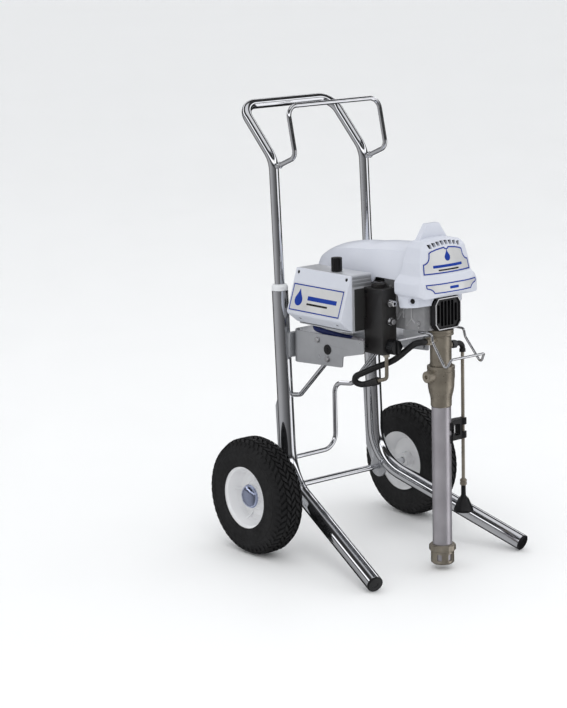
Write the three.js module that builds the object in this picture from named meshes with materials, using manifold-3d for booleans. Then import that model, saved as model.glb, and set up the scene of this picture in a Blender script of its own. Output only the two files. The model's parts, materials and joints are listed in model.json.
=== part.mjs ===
// Airless paint sprayer on a two-wheel upright cart.
// Units are millimetres. +X runs along the wheel axle, -Y is the pump's front and +Z is up.
// Inside the cart group, the origin is on the floor under the axle.
import * as THREE from 'three';
import { mergeVertices } from 'three/addons/utils/BufferGeometryUtils.js';
import Module from 'manifold-3d';

const wasm = await Module();
wasm.setup();

// Overall layout
const DEPTH_CENTRE_Y = -119;
const GAP = 0.3;
const QUARTER = Math.PI / 2;
const TUBE_SIDES = 12;
const ROD_SIDES = 8;
const ROUND_SIDES = 16;
const WHEEL_SIDES = 28;
const RIM_SIDES = 16;
const BEND_STEP = THREE.MathUtils.degToRad(30);

// Cart frame: two tubes, each an upright that leans back and a splayed front leg
const UPRIGHT_X = 127.5;
const CORNER_Y = 7.4;
const CORNER_Z = 144.2;
const LEAN = THREE.MathUtils.degToRad(3.8);
const FRAME_TUBE_R = 17.5;
const FRAME_WALL = 2;
const FRAME_TOP_Z = 557;
const FRAME_BEND_R = 105;
const LEG_TIP = new THREE.Vector3(213.8, -370.7, 16.65);
const LEG_CAP_T = 4;

// Telescopic handle
const HANDLE_TUBE_R = 10.5;
const HANDLE_BORE_R = 9;
const HANDLE_BOTTOM_Z = 425;
const HANDLE_BEND_Z = 835.7;
const HANDLE_TOP = { y: 163.4, z: 943.3 };
const RACK_ROD_R = 5;

// Wheels and axle
const WHEEL_R = 127;
const WHEEL_MID_X = 226;
const TYRE_HALF_W = 34.6;
const RIM_R = 70.2;
const AXLE_R = 6.35;
const AXLE_HALF_LENGTH = 247;

// Sprayer unit: leans back a little about a pivot in its middle
const UNIT_TILT = THREE.MathUtils.degToRad(-1.5);
const UNIT_PIVOT = new THREE.Vector3(0, -170, 500);
const PUMP_Y = -331;
const MOTOR_Z = 592;
const MOTOR_R = 52;
const GEAR_MODULE = 2.5;
const PINION_TEETH = 8;
const GEAR_TEETH = 24;
const CRANK_Z = MOTOR_Z - GEAR_MODULE * (PINION_TEETH + GEAR_TEETH) / 2;
const CRANK_THROW = 12;
const BRACKET_BOLTS = [[-87, 468], [-119, 431]];

const FINISHES = {
  chrome: { color: 0xc9cbd0, roughness: 0.12, metalness: 1 },
  zinc: { color: 0xa0a2a6, roughness: 0.38, metalness: 0.9 },
  whitePlastic: { color: 0xd7dae2, roughness: 0.32, metalness: 0 },
  whitePaint: { color: 0xe8e9ec, roughness: 0.2, metalness: 0 },
  blackPlastic: { color: 0x17171a, roughness: 0.45, metalness: 0 },
  blackAnodised: { color: 0x242426, roughness: 0.5, metalness: 0.4 },
  rubber: { color: 0x1e1e20, roughness: 0.75, metalness: 0 },
  aluminium: { color: 0x828284, roughness: 0.5, metalness: 0.8 },
  bronze: { color: 0x7d7364, roughness: 0.42, metalness: 0.9 },
  steel: { color: 0x9b9498, roughness: 0.35, metalness: 0.9 },
  blueHose: { color: 0x1f2f80, roughness: 0.55, metalness: 0 },
  greenBoard: { color: 0x1c5a34, roughness: 0.6, metalness: 0 },
};

// ---------------------------------------------------------------- geometry helpers

const vec = (x, y, z) => new THREE.Vector3(x, y, z);

/** A closed manifold solid from a three.js geometry, with its faces pointing outward. */
function solid(geometry) {
  const bare = geometry.clone();
  bare.deleteAttribute('normal');
  bare.deleteAttribute('uv');
  const merged = mergeVertices(bare, 1e-4);
  const vertProperties = Float32Array.from(merged.attributes.position.array);
  const triangles = [];
  const corners = merged.index.array;
  for (let i = 0; i < corners.length; i += 3) {
    const [a, b, c] = [corners[i], corners[i + 1], corners[i + 2]];
    if (a !== b && b !== c && c !== a) triangles.push([a, b, c]);
  }
  const corner = (index) => vec(...vertProperties.subarray(3 * index, 3 * index + 3));
  let volume = 0;
  for (const [a, b, c] of triangles) volume += corner(a).dot(corner(b).cross(corner(c)));
  const outward = volume < 0 ? triangles.map(([a, b, c]) => [a, c, b]) : triangles;
  const triVerts = Uint32Array.from(outward.flat());
  return new wasm.Manifold(new wasm.Mesh({ numProp: 3, vertProperties, triVerts }));
}

function geometryOf(shape) {
  const manifold = shape.isBufferGeometry ? solid(shape) : shape;
  const mesh = manifold.getMesh();
  const geometry = new THREE.BufferGeometry();
  geometry.setAttribute('position', new THREE.BufferAttribute(mesh.vertProperties, 3));
  geometry.setIndex(new THREE.BufferAttribute(mesh.triVerts, 1));
  geometry.computeVertexNormals();
  return geometry;
}

function addPart(parent, name, shape, finish) {
  const mesh = new THREE.Mesh(geometryOf(shape), new THREE.MeshStandardMaterial(FINISHES[finish]));
  mesh.name = name;
  parent.add(mesh);
  return mesh;
}

function box(min, max) {
  const size = max.clone().sub(min);
  const geometry = new THREE.BoxGeometry(size.x, size.y, size.z);
  return geometry.translate(...min.clone().add(max).multiplyScalar(0.5).toArray());
}

/** A cylinder from one point to another. */
function bar(from, to, radius, sides = ROUND_SIDES, endRadius = radius) {
  const span = to.clone().sub(from);
  const geometry = new THREE.CylinderGeometry(endRadius, radius, span.length(), sides);
  const turn = new THREE.Quaternion().setFromUnitVectors(vec(0, 1, 0), span.normalize());
  geometry.applyQuaternion(turn);
  return geometry.translate(...from.clone().add(to).multiplyScalar(0.5).toArray());
}

/** A body of revolution: profile of [radius, height] points, turned about +Z. */
function turned(profile, sides = ROUND_SIDES) {
  const points = profile.map(([radius, height]) => new THREE.Vector2(radius, height));
  return new THREE.LatheGeometry(points, sides).rotateX(QUARTER);
}

function closedProfile(profile) {
  return [...profile, profile[0]];
}

function polygon(points) {
  return new THREE.Shape(points.map(([u, v]) => new THREE.Vector2(u, v)));
}

function flat(shape, thickness) {
  return new THREE.ExtrudeGeometry(shape, { depth: thickness, bevelEnabled: false, curveSegments: 4 });
}

/** Extrudes a [y, z] outline along X, from x to x + thickness. */
function sidePlate(outline, x, thickness) {
  const geometry = flat(polygon(outline), thickness);
  geometry.applyMatrix4(new THREE.Matrix4().makeBasis(vec(0, 1, 0), vec(0, 0, 1), vec(1, 0, 0)));
  return geometry.translate(x, 0, 0);
}

/** Extrudes an [x, z] outline along Y, from y to y + thickness. */
function frontPlate(outline, y, thickness) {
  return flat(polygon(outline), thickness).rotateX(QUARTER).translate(0, y + thickness, 0);
}

function regularRing(radius, sides) {
  const corners = [];
  for (let i = 0; i < sides; i += 1) {
    const angle = 2 * Math.PI * i / sides;
    corners.push(new THREE.Vector2(radius * Math.cos(angle), radius * Math.sin(angle)));
  }
  return corners;
}

/** A route of straight runs, sampled only at its own points. */
class PolylineRoute extends THREE.Curve {
  constructor(points) {
    super();
    this.points = points;
  }

  getPoint(t) {
    const place = t * (this.points.length - 1);
    const index = Math.min(Math.floor(place), this.points.length - 2);
    return this.points[index].clone().lerp(this.points[index + 1], place - index);
  }

  getPointAt(u) {
    return this.getPoint(u);
  }

  getTangentAt(u) {
    const last = this.points.length - 1;
    const index = Math.round(u * last);
    const tangent = vec(0, 0, 0);
    if (index > 0) tangent.add(this.points[index].clone().sub(this.points[index - 1]).normalize());
    if (index < last) tangent.add(this.points[index + 1].clone().sub(this.points[index]).normalize());
    return tangent.normalize();
  }
}

/** Straight runs between corners, with each inner corner rounded to its radius. */
function bentRoute(corners, radii) {
  const points = [corners[0]];
  for (let i = 1; i < corners.length - 1; i += 1) {
    const radius = Array.isArray(radii) ? radii[i - 1] : radii;
    const back = corners[i - 1].clone().sub(corners[i]).normalize();
    const onward = corners[i + 1].clone().sub(corners[i]).normalize();
    const opening = back.angleTo(onward);
    const bisector = back.clone().add(onward).normalize();
    const centre = corners[i].clone().addScaledVector(bisector, radius / Math.sin(opening / 2));
    const start = corners[i].clone().addScaledVector(back, radius / Math.tan(opening / 2)).sub(centre);
    const axis = back.clone().negate().cross(onward).normalize();
    const steps = Math.ceil((Math.PI - opening) / BEND_STEP);
    for (let k = 0; k <= steps; k += 1) {
      points.push(start.clone().applyAxisAngle(axis, (Math.PI - opening) * k / steps).add(centre));
    }
  }
  points.push(corners[corners.length - 1]);
  return points;
}

function smoothRoute(points, steps) {
  return new THREE.CatmullRomCurve3(points, false, 'centripetal').getSpacedPoints(steps);
}

/** A round tube or rod along a route; a bore makes it hollow and open at both ends. */
function tube(points, radius, sides = ROD_SIDES, bore = 0) {
  const section = new THREE.Shape(regularRing(radius, sides));
  if (bore > 0) section.holes.push(new THREE.Path(regularRing(bore, sides)));
  const path = new PolylineRoute(points);
  const steps = points.length - 1;
  return new THREE.ExtrudeGeometry(section, { steps, extrudePath: path, bevelEnabled: false });
}

function subtractAll(base, ...tools) {
  return tools.reduce((left, tool) => left.subtract(solid(tool)), solid(base));
}

function joinAll(base, ...others) {
  return others.reduce((left, other) => left.add(solid(other)), solid(base));
}

function intersectAll(base, ...others) {
  return others.reduce((left, other) => left.intersect(solid(other)), solid(base));
}

// ---------------------------------------------------------------- cart

/** The point at a height on an upright's leaning centreline. */
function onUpright(side, z) {
  return vec(side * UPRIGHT_X, CORNER_Y + (z - CORNER_Z) * Math.tan(LEAN), z);
}

function legTip(side, inset = 0) {
  const tip = vec(side * LEG_TIP.x, LEG_TIP.y, LEG_TIP.z);
  const toCorner = onUpright(side, CORNER_Z).sub(tip).normalize();
  return tip.addScaledVector(toCorner, inset);
}

function frameRoute(side) {
  const corners = [onUpright(side, FRAME_TOP_Z), onUpright(side, CORNER_Z), legTip(side, LEG_CAP_T + GAP)];
  return bentRoute(corners, FRAME_BEND_R);
}

function frameTube(side) {
  return tube(frameRoute(side), FRAME_TUBE_R, TUBE_SIDES, FRAME_TUBE_R - FRAME_WALL);
}

/** Black end plug: a disc over the tube's mouth and a spigot inside it. */
function legCap(side) {
  const spigotLength = 18;
  const disc = bar(legTip(side), legTip(side, LEG_CAP_T), FRAME_TUBE_R, TUBE_SIDES);
  const spigot = bar(legTip(side, 1), legTip(side, LEG_CAP_T + spigotLength), FRAME_TUBE_R - 3.2, TUBE_SIDES);
  return joinAll(disc, spigot);
}

/** Plastic bush in the upright's mouth, in which the handle slides. */
function collar(side) {
  const boreR = HANDLE_TUBE_R + 0.8;
  const profile = [
    [boreR, -45], [FRAME_TUBE_R - 2.7, -45], [FRAME_TUBE_R - 2.7, GAP], [FRAME_TUBE_R, GAP],
    [FRAME_TUBE_R, 9], [FRAME_TUBE_R - 3, 14], [boreR, 14],
  ];
  const top = onUpright(side, FRAME_TOP_Z);
  return turned(closedProfile(profile)).rotateX(-LEAN).translate(top.x, top.y, top.z);
}

/** Plate behind the upright's bend, with a lobe that carries the axle. */
function gusset(side) {
  const thickness = 5;
  const lobeR = 24;
  const lobe = [];
  for (let degrees = 20; degrees >= -200; degrees -= 20) {
    const angle = THREE.MathUtils.degToRad(degrees);
    lobe.push([lobeR * Math.cos(angle), WHEEL_R + lobeR * Math.sin(angle)]);
  }
  const outline = [[44, 315], [50, 300], [40, 170], ...lobe, [-10, 150], [20, 190], [28, 310]];
  const plate = sidePlate(outline, side * UPRIGHT_X - thickness / 2, thickness);
  const axleHole = bar(vec(-300, 0, WHEEL_R), vec(300, 0, WHEEL_R), AXLE_R + 0.5);
  const behindTube = subtractAll(plate, axleHole, tube(frameRoute(side), FRAME_TUBE_R + GAP, TUBE_SIDES));
  const pieces = behindTube.decompose();
  return pieces.reduce((largest, piece) => (piece.volume() > largest.volume() ? piece : largest));
}

function handleTube() {
  const corners = [-1, 1].map((side) => [
    onUpright(side, HANDLE_BOTTOM_Z), onUpright(side, HANDLE_BEND_Z),
    vec(side * UPRIGHT_X, HANDLE_TOP.y, HANDLE_TOP.z),
  ]);
  const route = bentRoute([...corners[0], ...corners[1].reverse()], [60, 38, 38, 60]);
  return tube(route, HANDLE_TUBE_R, TUBE_SIDES, HANDLE_BORE_R);
}

/** Bent rod in front of the handle, over which the hose is hung. */
function hoseRack() {
  const half = (side) => [
    vec(side * UPRIGHT_X, 42, 823), vec(side * UPRIGHT_X, -20, 849), vec(side * UPRIGHT_X, 6, 954),
  ];
  const corners = [...half(-1), ...half(1).reverse()];
  return subtractAll(
    tube(bentRoute(corners, [18, 24, 24, 18]), RACK_ROD_R),
    bar(onUpright(-1, 780), onUpright(-1, HANDLE_BEND_Z + 10), HANDLE_TUBE_R + GAP),
    bar(onUpright(1, 780), onUpright(1, HANDLE_BEND_Z + 10), HANDLE_TUBE_R + GAP),
  );
}

/** Bent rod from the left upright, up under the motor tray and back to the upright. */
function supportRod() {
  const corners = [
    vec(-UPRIGHT_X + 10, 10, 188), vec(12, 14, 188), vec(12, 18, 334), vec(12, -42, 343),
    vec(12, -150, 458), vec(-112, -139, 458), vec(-112, -14, 333), vec(-UPRIGHT_X + 5, 14, 330),
  ];
  const rod = tube(bentRoute(corners, [22, 20, 26, 16, 16, 14]), RACK_ROD_R);
  return subtractAll(rod, tube(frameRoute(-1), FRAME_TUBE_R + GAP, TUBE_SIDES));
}

/** Folded sheet bracket: a rear web with rounded corners, and two side plates that reach forward. */
function mountingBracket() {
  const outerX = 125;
  const sheet = 3;
  const webY = 5;
  const cornerR = 28;
  const plan = [];
  const addCorner = (side, radius, from, to) => {
    for (let k = 0; k <= 4; k += 1) {
      const angle = THREE.MathUtils.degToRad(from + (to - from) * k / 4);
      const across = outerX - cornerR + radius * Math.cos(angle);
      plan.push([side * across, webY - cornerR + radius * Math.sin(angle)]);
    }
  };
  plan.push([outerX, -240]);
  addCorner(1, cornerR, 0, 90);
  addCorner(-1, cornerR, 90, 0);
  plan.push([-outerX, -240], [-outerX + sheet, -240]);
  addCorner(-1, cornerR - sheet, 0, 90);
  addCorner(1, cornerR - sheet, 90, 0);
  plan.push([outerX - sheet, -240]);
  const channel = flat(polygon(plan), 120).translate(0, 0, 390);
  const sideOutline = [
    [12, 476], [-232, 489], [-232, 461], [-172, 446], [-167, 444], [-165, 421], [-20, 408.5], [12, 407],
  ];
  const tab = (side) => box(
    vec(Math.min(side * 128, side * 92), webY - sheet, 415),
    vec(Math.max(side * 128, side * 92), webY + 9, 468),
  );
  const folded = intersectAll(channel, sidePlate(sideOutline, -150, 300));
  const hole = bar(vec(-140, -119, 452), vec(-110, -119, 452), 8.5);
  const boltHoles = BRACKET_BOLTS.map(([y, z]) => bar(vec(-140, y, z), vec(140, y, z), 3.6));
  const cuts = [hole, ...boltHoles];
  for (const side of [-1, 1]) cuts.push(tube(frameRoute(side), FRAME_TUBE_R + GAP, TUBE_SIDES));
  return cuts.reduce(
    (left, cut) => left.subtract(solid(cut)), folded.add(solid(tab(-1))).add(solid(tab(1))),
  );
}

function bracketBolt(y, z) {
  const head = bar(vec(-125 - GAP, y, z), vec(-130, y, z), 7, 6, 6.2);
  const shank = bar(vec(-126, y, z), vec(-119, y, z), 3.1, ROD_SIDES);
  return joinAll(head, shank);
}

// ---------------------------------------------------------------- wheels

/** Turns a profile of [radius, outward offset] about the axle, on the given side of the cart. */
function wheelPiece(profile, side, sides = WHEEL_SIDES) {
  const geometry = turned(profile, sides).rotateY(side * QUARTER);
  return geometry.translate(side * WHEEL_MID_X, 0, WHEEL_R);
}

function tyre(side) {
  const half = [[71, 31], [88, 33.5], [105, TYRE_HALF_W], [120, 30], [WHEEL_R, 16]];
  const mirrored = half.map(([radius, offset]) => [radius, -offset]);
  return wheelPiece(closedProfile([...mirrored, ...half.reverse()]), side);
}

function rim(side) {
  const boreR = AXLE_R + 0.6;
  const profile = [
    [RIM_R, -32], [RIM_R, 32], [67, 32], [61.5, 26], [57, 6], [46, -3], [30, -1], [24, 6], [24, 15],
    [boreR, 15], [boreR, -27], [16, -27], [18, -9], [47, -9], [62, -27], [67, -32],
  ];
  return wheelPiece(closedProfile(profile), side, RIM_SIDES);
}

/** Domed cap with a pocket for the axle's end. */
function hubcap(side) {
  const pocketR = AXLE_R + GAP;
  const profile = [
    [0, 24], [pocketR, 24], [pocketR, 15 + GAP], [26, 15 + GAP], [26, 18], [22, 24], [13, 28.5], [0, 30.5],
  ];
  return wheelPiece(profile, side, ROUND_SIDES);
}

// ---------------------------------------------------------------- motor and drive

/** Motor can: a cup, closed at the rear, with the shaft's front bearing at the housing. */
function motorCan() {
  const profile = [
    [7, -45], [16, -45], [16, -50], [MOTOR_R, -50], [MOTOR_R, -216], [MOTOR_R - 3, -216], [MOTOR_R - 3, -54],
    [7, -54],
  ];
  return alongY(turned(closedProfile(profile)), MOTOR_Z);
}

/** Places a body that was turned about +Z on an axis along +Y, at a height; +Z becomes +Y. */
function alongY(geometry, z, x = 0) {
  return geometry.rotateX(-QUARTER).translate(x, 0, z);
}

/** One side of a spur gear as a [u, v] outline with straight-flanked teeth. */
function gearOutline(teeth, phase) {
  const outline = [];
  const pitchR = GEAR_MODULE * teeth / 2;
  const rootR = pitchR - 1.15 * GEAR_MODULE;
  const tipR = pitchR + 0.8 * GEAR_MODULE;
  const pitch = 2 * Math.PI / teeth;
  for (let i = 0; i < teeth; i += 1) {
    const centre = phase + i * pitch;
    for (const [radius, offset] of [[rootR, -0.33], [tipR, -0.11], [tipR, 0.11], [rootR, 0.33]]) {
      const angle = centre + offset * pitch;
      outline.push([radius * Math.cos(angle), radius * Math.sin(angle)]);
    }
  }
  return outline;
}

function gearBlank(teeth, phase, z, y, width) {
  return frontPlate(gearOutline(teeth, phase), y, width).translate(0, 0, z);
}

/** Armature on its shaft, with the pinion at the front end. */
function motorRotor() {
  const shaft = [
    [0, -22], [5.5, -22], [5.5, -70], [36, -70], [36, -160], [20, -166], [20, -195], [5.5, -197], [5.5, -252],
    [0, -252],
  ].reverse();
  const pinion = gearBlank(PINION_TEETH, QUARTER, MOTOR_Z, -250, 14);
  return joinAll(alongY(turned(shaft), MOTOR_Z), pinion);
}

function coolingFan() {
  const hub = turned(closedProfile([[6, -42], [12, -42], [12, -26], [6, -26]]));
  const blade = (index) => {
    const plate = box(vec(10, -1, -7), vec(36, 1, 7)).rotateX(0.35).translate(0, 0, -34);
    return plate.rotateZ(index * Math.PI / 4);
  };
  const blades = [...Array(8).keys()].map((index) => alongY(blade(index), MOTOR_Z));
  return joinAll(alongY(hub, MOTOR_Z), ...blades);
}

/** Reduction gear with a long hub and an eccentric crank pin. */
function crankGear() {
  const wheel = gearBlank(GEAR_TEETH, -QUARTER + Math.PI / GEAR_TEETH, CRANK_Z, -250, 12);
  const stub = bar(vec(0, -242, CRANK_Z), vec(0, -224, CRANK_Z), 6);
  const hub = bar(vec(0, -312, CRANK_Z), vec(0, -242, CRANK_Z), 18);
  const pin = bar(vec(0, -323, CRANK_Z + CRANK_THROW), vec(0, -310, CRANK_Z + CRANK_THROW), 5);
  return joinAll(wheel, stub, hub, pin);
}

/** Connecting rod in front of the crank pin, with its big end at the pin's top position. */
function connectingRod() {
  const thickness = 10;
  const eyeZ = CRANK_Z + CRANK_THROW;
  const back = PUMP_Y - thickness / 2 + GAP;
  const shank = box(vec(-7, back, 534), vec(7, back + thickness - 1, eyeZ));
  const eye = bar(vec(0, back, eyeZ), vec(0, back + thickness - 1, eyeZ), 14);
  const eyeHole = bar(vec(0, back - 5, eyeZ), vec(0, back + 15, eyeZ), 6);
  return joinAll(shank, eye).subtract(solid(eyeHole));
}

function pistonRod() {
  return bar(vec(0, PUMP_Y, 372), vec(0, PUMP_Y, 534 - GAP), 8);
}

/** Gear housing's plan outline as [x, y]: straight sides that narrow towards the front. */
function housingPlan(inset) {
  const right = [[59, -222], [59, -288], [49, -334], [38, -338.6]];
  const half = right.map(([x, y]) => [x - inset, y === -222 ? y - inset : y + inset * 0.4]);
  const other = [...half].reverse().map(([x, y]) => [-x, y]);
  return [...half, ...other];
}

/** Cast gear housing: a tapered box with a pocket open to the front, and ribs on both sides. */
function driveHousing() {
  const body = flat(polygon(housingPlan(0)), 130).translate(0, 0, 510);
  const pocket = flat(polygon(housingPlan(7)), 117).translate(0, 0, 515);
  const mouth = box(vec(-33, -345, 515), vec(33, -300, 632));
  const chamfer = (side) => bar(vec(side * 74, -202, 500), vec(side * 74, -380, 500), 26, 4);
  const ribs = [-1, 1].flatMap((side) => [-286, -274].map((y) => box(
    vec(Math.min(side * 58, side * 62), y, 522), vec(Math.max(side * 58, side * 62), y + 4, 590),
  )));
  const spigot = bar(vec(0, -222.5, MOTOR_Z), vec(0, -216 - GAP, MOTOR_Z), 48);
  const holes = [
    bar(vec(0, -235, MOTOR_Z), vec(0, -210, MOTOR_Z), 7),
    bar(vec(0, -235, CRANK_Z), vec(0, -226, CRANK_Z), 6.6),
    bar(vec(0, -226.2, CRANK_Z), vec(0, -223.4, CRANK_Z), 6.6),
    bar(vec(0, PUMP_Y, 500), vec(0, PUMP_Y, 530), 9.4),
  ];
  const cuts = [pocket, mouth, chamfer(-1), chamfer(1), ...holes];
  return cuts.reduce((left, cut) => left.subtract(solid(cut)), joinAll(body, spigot, ...ribs));
}

/** Turns a cart [y, z] into the unit's own leaning frame. */
function toUnit(y, z) {
  const place = vec(0, y, z).sub(UNIT_PIVOT).applyAxisAngle(vec(1, 0, 0), -UNIT_TILT).add(UNIT_PIVOT);
  return [place.y, place.z];
}

/** Sheet tray under the motor, with two cradle plates and side flanges that bolt to the bracket. */
function motorTray() {
  const reach = 121.5;
  const sheet = 3;
  const top = 469;
  const pieces = [box(vec(-reach, -205, top - sheet), vec(reach, -60, top))];
  for (const side of [-1, 1]) {
    const x = side > 0 ? reach - sheet : -reach;
    pieces.push(box(vec(x, -150, 424), vec(x + sheet, -62, 480)));
  }
  for (const y of [-180, -100]) pieces.push(box(vec(-34, y, top - 1), vec(34, y + 5, 565)));
  const boltHoles = BRACKET_BOLTS.map((bolt) => {
    const [y, z] = toUnit(...bolt);
    return bar(vec(-140, y, z), vec(140, y, z), 4);
  });
  const saddle = bar(vec(0, 10, MOTOR_Z), vec(0, -230, MOTOR_Z), MOTOR_R + GAP);
  return [saddle, ...boltHoles].reduce((left, cut) => left.subtract(solid(cut)), joinAll(...pieces));
}

// ---------------------------------------------------------------- covers

/** Front cover's side outline as [y, z]; an inset one runs out through the rear and the bottom. */
function coverSide(inset) {
  const face = [[-366, 583], [-373, 591], [-373.5, 600], [-371, 612], [-361, 625], [-357, 640], [-353, 660],
    [-349, 680], [-342, 693], [-328, 700], [-298, 700]];
  const rear = [[-296, 690], [-290, 640], [-278, 613], [-278, 588], [-281, 583]];
  const skirt = inset > 0
    ? [[-263, 540], [-346, 540], [-347, 581 + inset]]
    : [[-283, 555], [-325, 560], [-349, 565], [-350, 581]];
  const insetFace = face.map(([y, z]) => [y + inset, z + inset * (z > 690 ? -1 : 0.6)]);
  const openRear = rear.map(([y, z]) => [y + (inset > 0 ? 20 : 0), z]);
  return [...insetFace, ...openRear, ...skirt];
}

/** Front cover's front outline as [x, z], mirrored about the middle. */
function coverFront(inset) {
  const right = [
    [70, inset > 0 ? 540 : 555], [74, 583], [78, 586], [80, 592], [80, 610], [76, 619], [70, 627],
    [69.5, 650], [64, 661], [62, 672], [59, 685], [48, 694], [24, 699], [0, 700],
  ];
  const half = right.map(([x, z]) => [Math.max(x - inset, 0), inset > 0 && z > 680 ? z - inset : z]);
  const other = half.slice(0, -1).reverse().map(([x, z]) => [-x, z]);
  return [...half, ...other];
}

/** Front cover's plan outline as [x, y]: flat sides and a bowed face. */
function coverPlan(inset) {
  const right = [[80, -270], [80, -338], [79, -352], [75, -362], [50, -368.5], [25, -372.5], [0, -373.5]];
  const half = right.map(([x, y]) => [Math.max(x - inset, 0), y + (y < -300 ? inset : 10 * inset)]);
  const other = half.slice(0, -1).reverse().map(([x, y]) => [-x, y]);
  return [...half, ...other];
}

/** Skirt's plan outline as [x, y]: its front corners are cut back further than the cover's. */
function skirtPlan(inset) {
  const right = [[74, -270], [74, -284], [70, -304], [62, -330], [46, -345], [0, -350]];
  const half = right.map(([x, y]) => [Math.max(x - inset, 0), y + (y < -270 ? inset * 0.8 : 10 * inset)]);
  const other = half.slice(0, -1).reverse().map(([x, y]) => [-x, y]);
  return [...half, ...other];
}

function coverSolid(inset) {
  const aroundSkirt = solid(box(vec(-120, -400, 500), vec(120, -200, 583 + inset)))
    .subtract(solid(flat(polygon(skirtPlan(inset)), 100).translate(0, 0, 495)));
  return intersectAll(
    sidePlate(coverSide(inset), -100, 200),
    frontPlate(coverFront(inset), -400, 200),
    flat(polygon(coverPlan(inset)), 300).translate(0, 0, 500),
  ).subtract(aroundSkirt);
}

/** Moulded front cover: a shell open at the rear and bottom, with an air scoop on top. */
function frontCover() {
  const scoop = frontPlate([[-43, 692], [43, 692], [17, 727], [-17, 727]], -312, 14);
  const scoopPocket = frontPlate([[-39, 680], [39, 680], [14.5, 723.5], [-14.5, 723.5]], -309, 30);
  const slots = [-3, -2, -1, 0, 1, 2, 3].map((step) => {
    const x = step * 13.5;
    const z = 692 - 0.003 * x * x;
    return box(vec(x - 3.4, -380, z - 5), vec(x + 3.4, -325, z + 3));
  });
  const screwHoles = [-1, 1].map((side) => bar(vec(side * 90, -316, 572), vec(side * 55, -316, 572), 4));
  const shell = coverSolid(0).add(solid(scoop)).subtract(coverSolid(3));
  const guardOpening = box(vec(-38, -400, 540), vec(38, -325, 581));
  const cuts = [scoopPocket, guardOpening, ...slots, ...screwHoles];
  return cuts.reduce((left, cut) => left.subtract(solid(cut)), shell);
}

const SHROUD = {
  bulgeY: -139, tailY: 45, halfWidth: 70, baseZ: 590,
  planPower: 1.83, topPower: 2.1, roundness: 1.85, section: 2.4,
  ridge: [[-300, 686.5], [-186, 679], [-149, 674], [-69, 671.3], [45, 671.3]],
};

/** The shroud's half width and ridge height above its base at a distance along Y. */
function shroudAt(y) {
  const { ridge } = SHROUD;
  const index = Math.max(ridge.findIndex(([end]) => y <= end), 1);
  const [from, to] = [ridge[index - 1], ridge[index]];
  const straight = THREE.MathUtils.mapLinear(y, from[0], to[0], from[1], to[1]) - SHROUD.baseZ;
  const t = THREE.MathUtils.clamp((y - SHROUD.bulgeY) / (SHROUD.tailY - SHROUD.bulgeY), 0, 1);
  const taper = (power) => (1 - t ** power) ** (1 / SHROUD.roundness);
  return { half: SHROUD.halfWidth * taper(SHROUD.planPower), rise: straight * taper(SHROUD.topPower) };
}

/** Closed lofted body of the shroud: rounded arches over straight walls, shrunk by an inset. */
function shroudLoft(inset) {
  const stations = [-300, -240, -186, -139, -100, -69, -45, -20, 0, 15, 27, 36, 42, 44.7];
  const arcSteps = 12;
  const floorZ = 540 - 10 * inset;
  const rings = stations.map((station) => {
    const { half, rise } = shroudAt(station);
    const y = station > SHROUD.bulgeY ? station - inset * (station - SHROUD.bulgeY) / 180 : station;
    const ring = [vec(-Math.max(half - inset, 0.5), y, floorZ)];
    for (let k = 0; k <= arcSteps; k += 1) {
      const angle = Math.PI * (1 - k / arcSteps);
      const across = Math.sign(Math.cos(angle)) * Math.abs(Math.cos(angle)) ** (2 / SHROUD.section);
      const up = Math.sin(angle) ** (2 / SHROUD.section);
      const x = Math.max(half - inset, 0.5) * across;
      ring.push(vec(x, y, SHROUD.baseZ + Math.max(rise - inset, 0.5) * up));
    }
    ring.push(vec(Math.max(half - inset, 0.5), y, floorZ));
    return ring;
  });
  return loft(rings);
}

/** Skins a closed body over rings that have the same number of points. */
function loft(rings) {
  const count = rings[0].length;
  const index = [];
  for (let r = 0; r + 1 < rings.length; r += 1) {
    for (let k = 0; k < count; k += 1) {
      const [a, b] = [r * count + k, r * count + (k + 1) % count];
      index.push(a, b, a + count, b, b + count, a + count);
    }
  }
  for (let k = 1; k + 1 < count; k += 1) {
    const last = (rings.length - 1) * count;
    index.push(0, k + 1, k, last, last + k, last + k + 1);
  }
  const geometry = new THREE.BufferGeometry().setFromPoints(rings.flat());
  return geometry.setIndex(index);
}

/** Motor shroud: an arched shell, open below and at the front, with a rounded closed tail. */
function motorShroud() {
  const lowerEdge = [[60, 560], [10, 560], [-30, 600], [-200, 600], [-206, 612], [-276, 612]];
  const outline = [[-276, 613], [-289, 640], [-294.5, 700], [60, 700], ...lowerEdge];
  return intersectAll(shroudLoft(0), sidePlate(outline, -100, 200)).subtract(solid(shroudLoft(3)));
}

/** Slotted finger guard over the connecting rod. */
function frontGuard() {
  const outline = [
    [-37, 524], [-27, 511], [27, 511], [37, 524], [37, 566], [28, 579], [-28, 579], [-37, 566],
  ];
  const slots = [-22, -7.4, 7.4, 22].map((x) => box(vec(x - 4.2, -360, 519), vec(x + 4.2, -330, 568)));
  return subtractAll(frontPlate(outline, -355, 15.2), ...slots);
}

// ---------------------------------------------------------------- pump

function pumpPiece(profile, sides = ROUND_SIDES) {
  return turned(profile, sides).translate(0, PUMP_Y, 0);
}

/** Upper cylinder with a bolt ring at the top and a side port on the left. */
function pumpCylinder() {
  const tubeBody = pumpPiece(closedProfile([
    [10.5, 433], [23, 433], [23, 496], [27, 498], [27, 509 + GAP], [10.5, 509 + GAP],
  ]));
  const port = bar(vec(-20, PUMP_Y, 488), vec(-27, PUMP_Y, 488), 8);
  const drainPort = bar(vec(20, PUMP_Y, 472), vec(28, PUMP_Y, 472), 7);
  return joinAll(tubeBody, port, drainPort);
}

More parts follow.
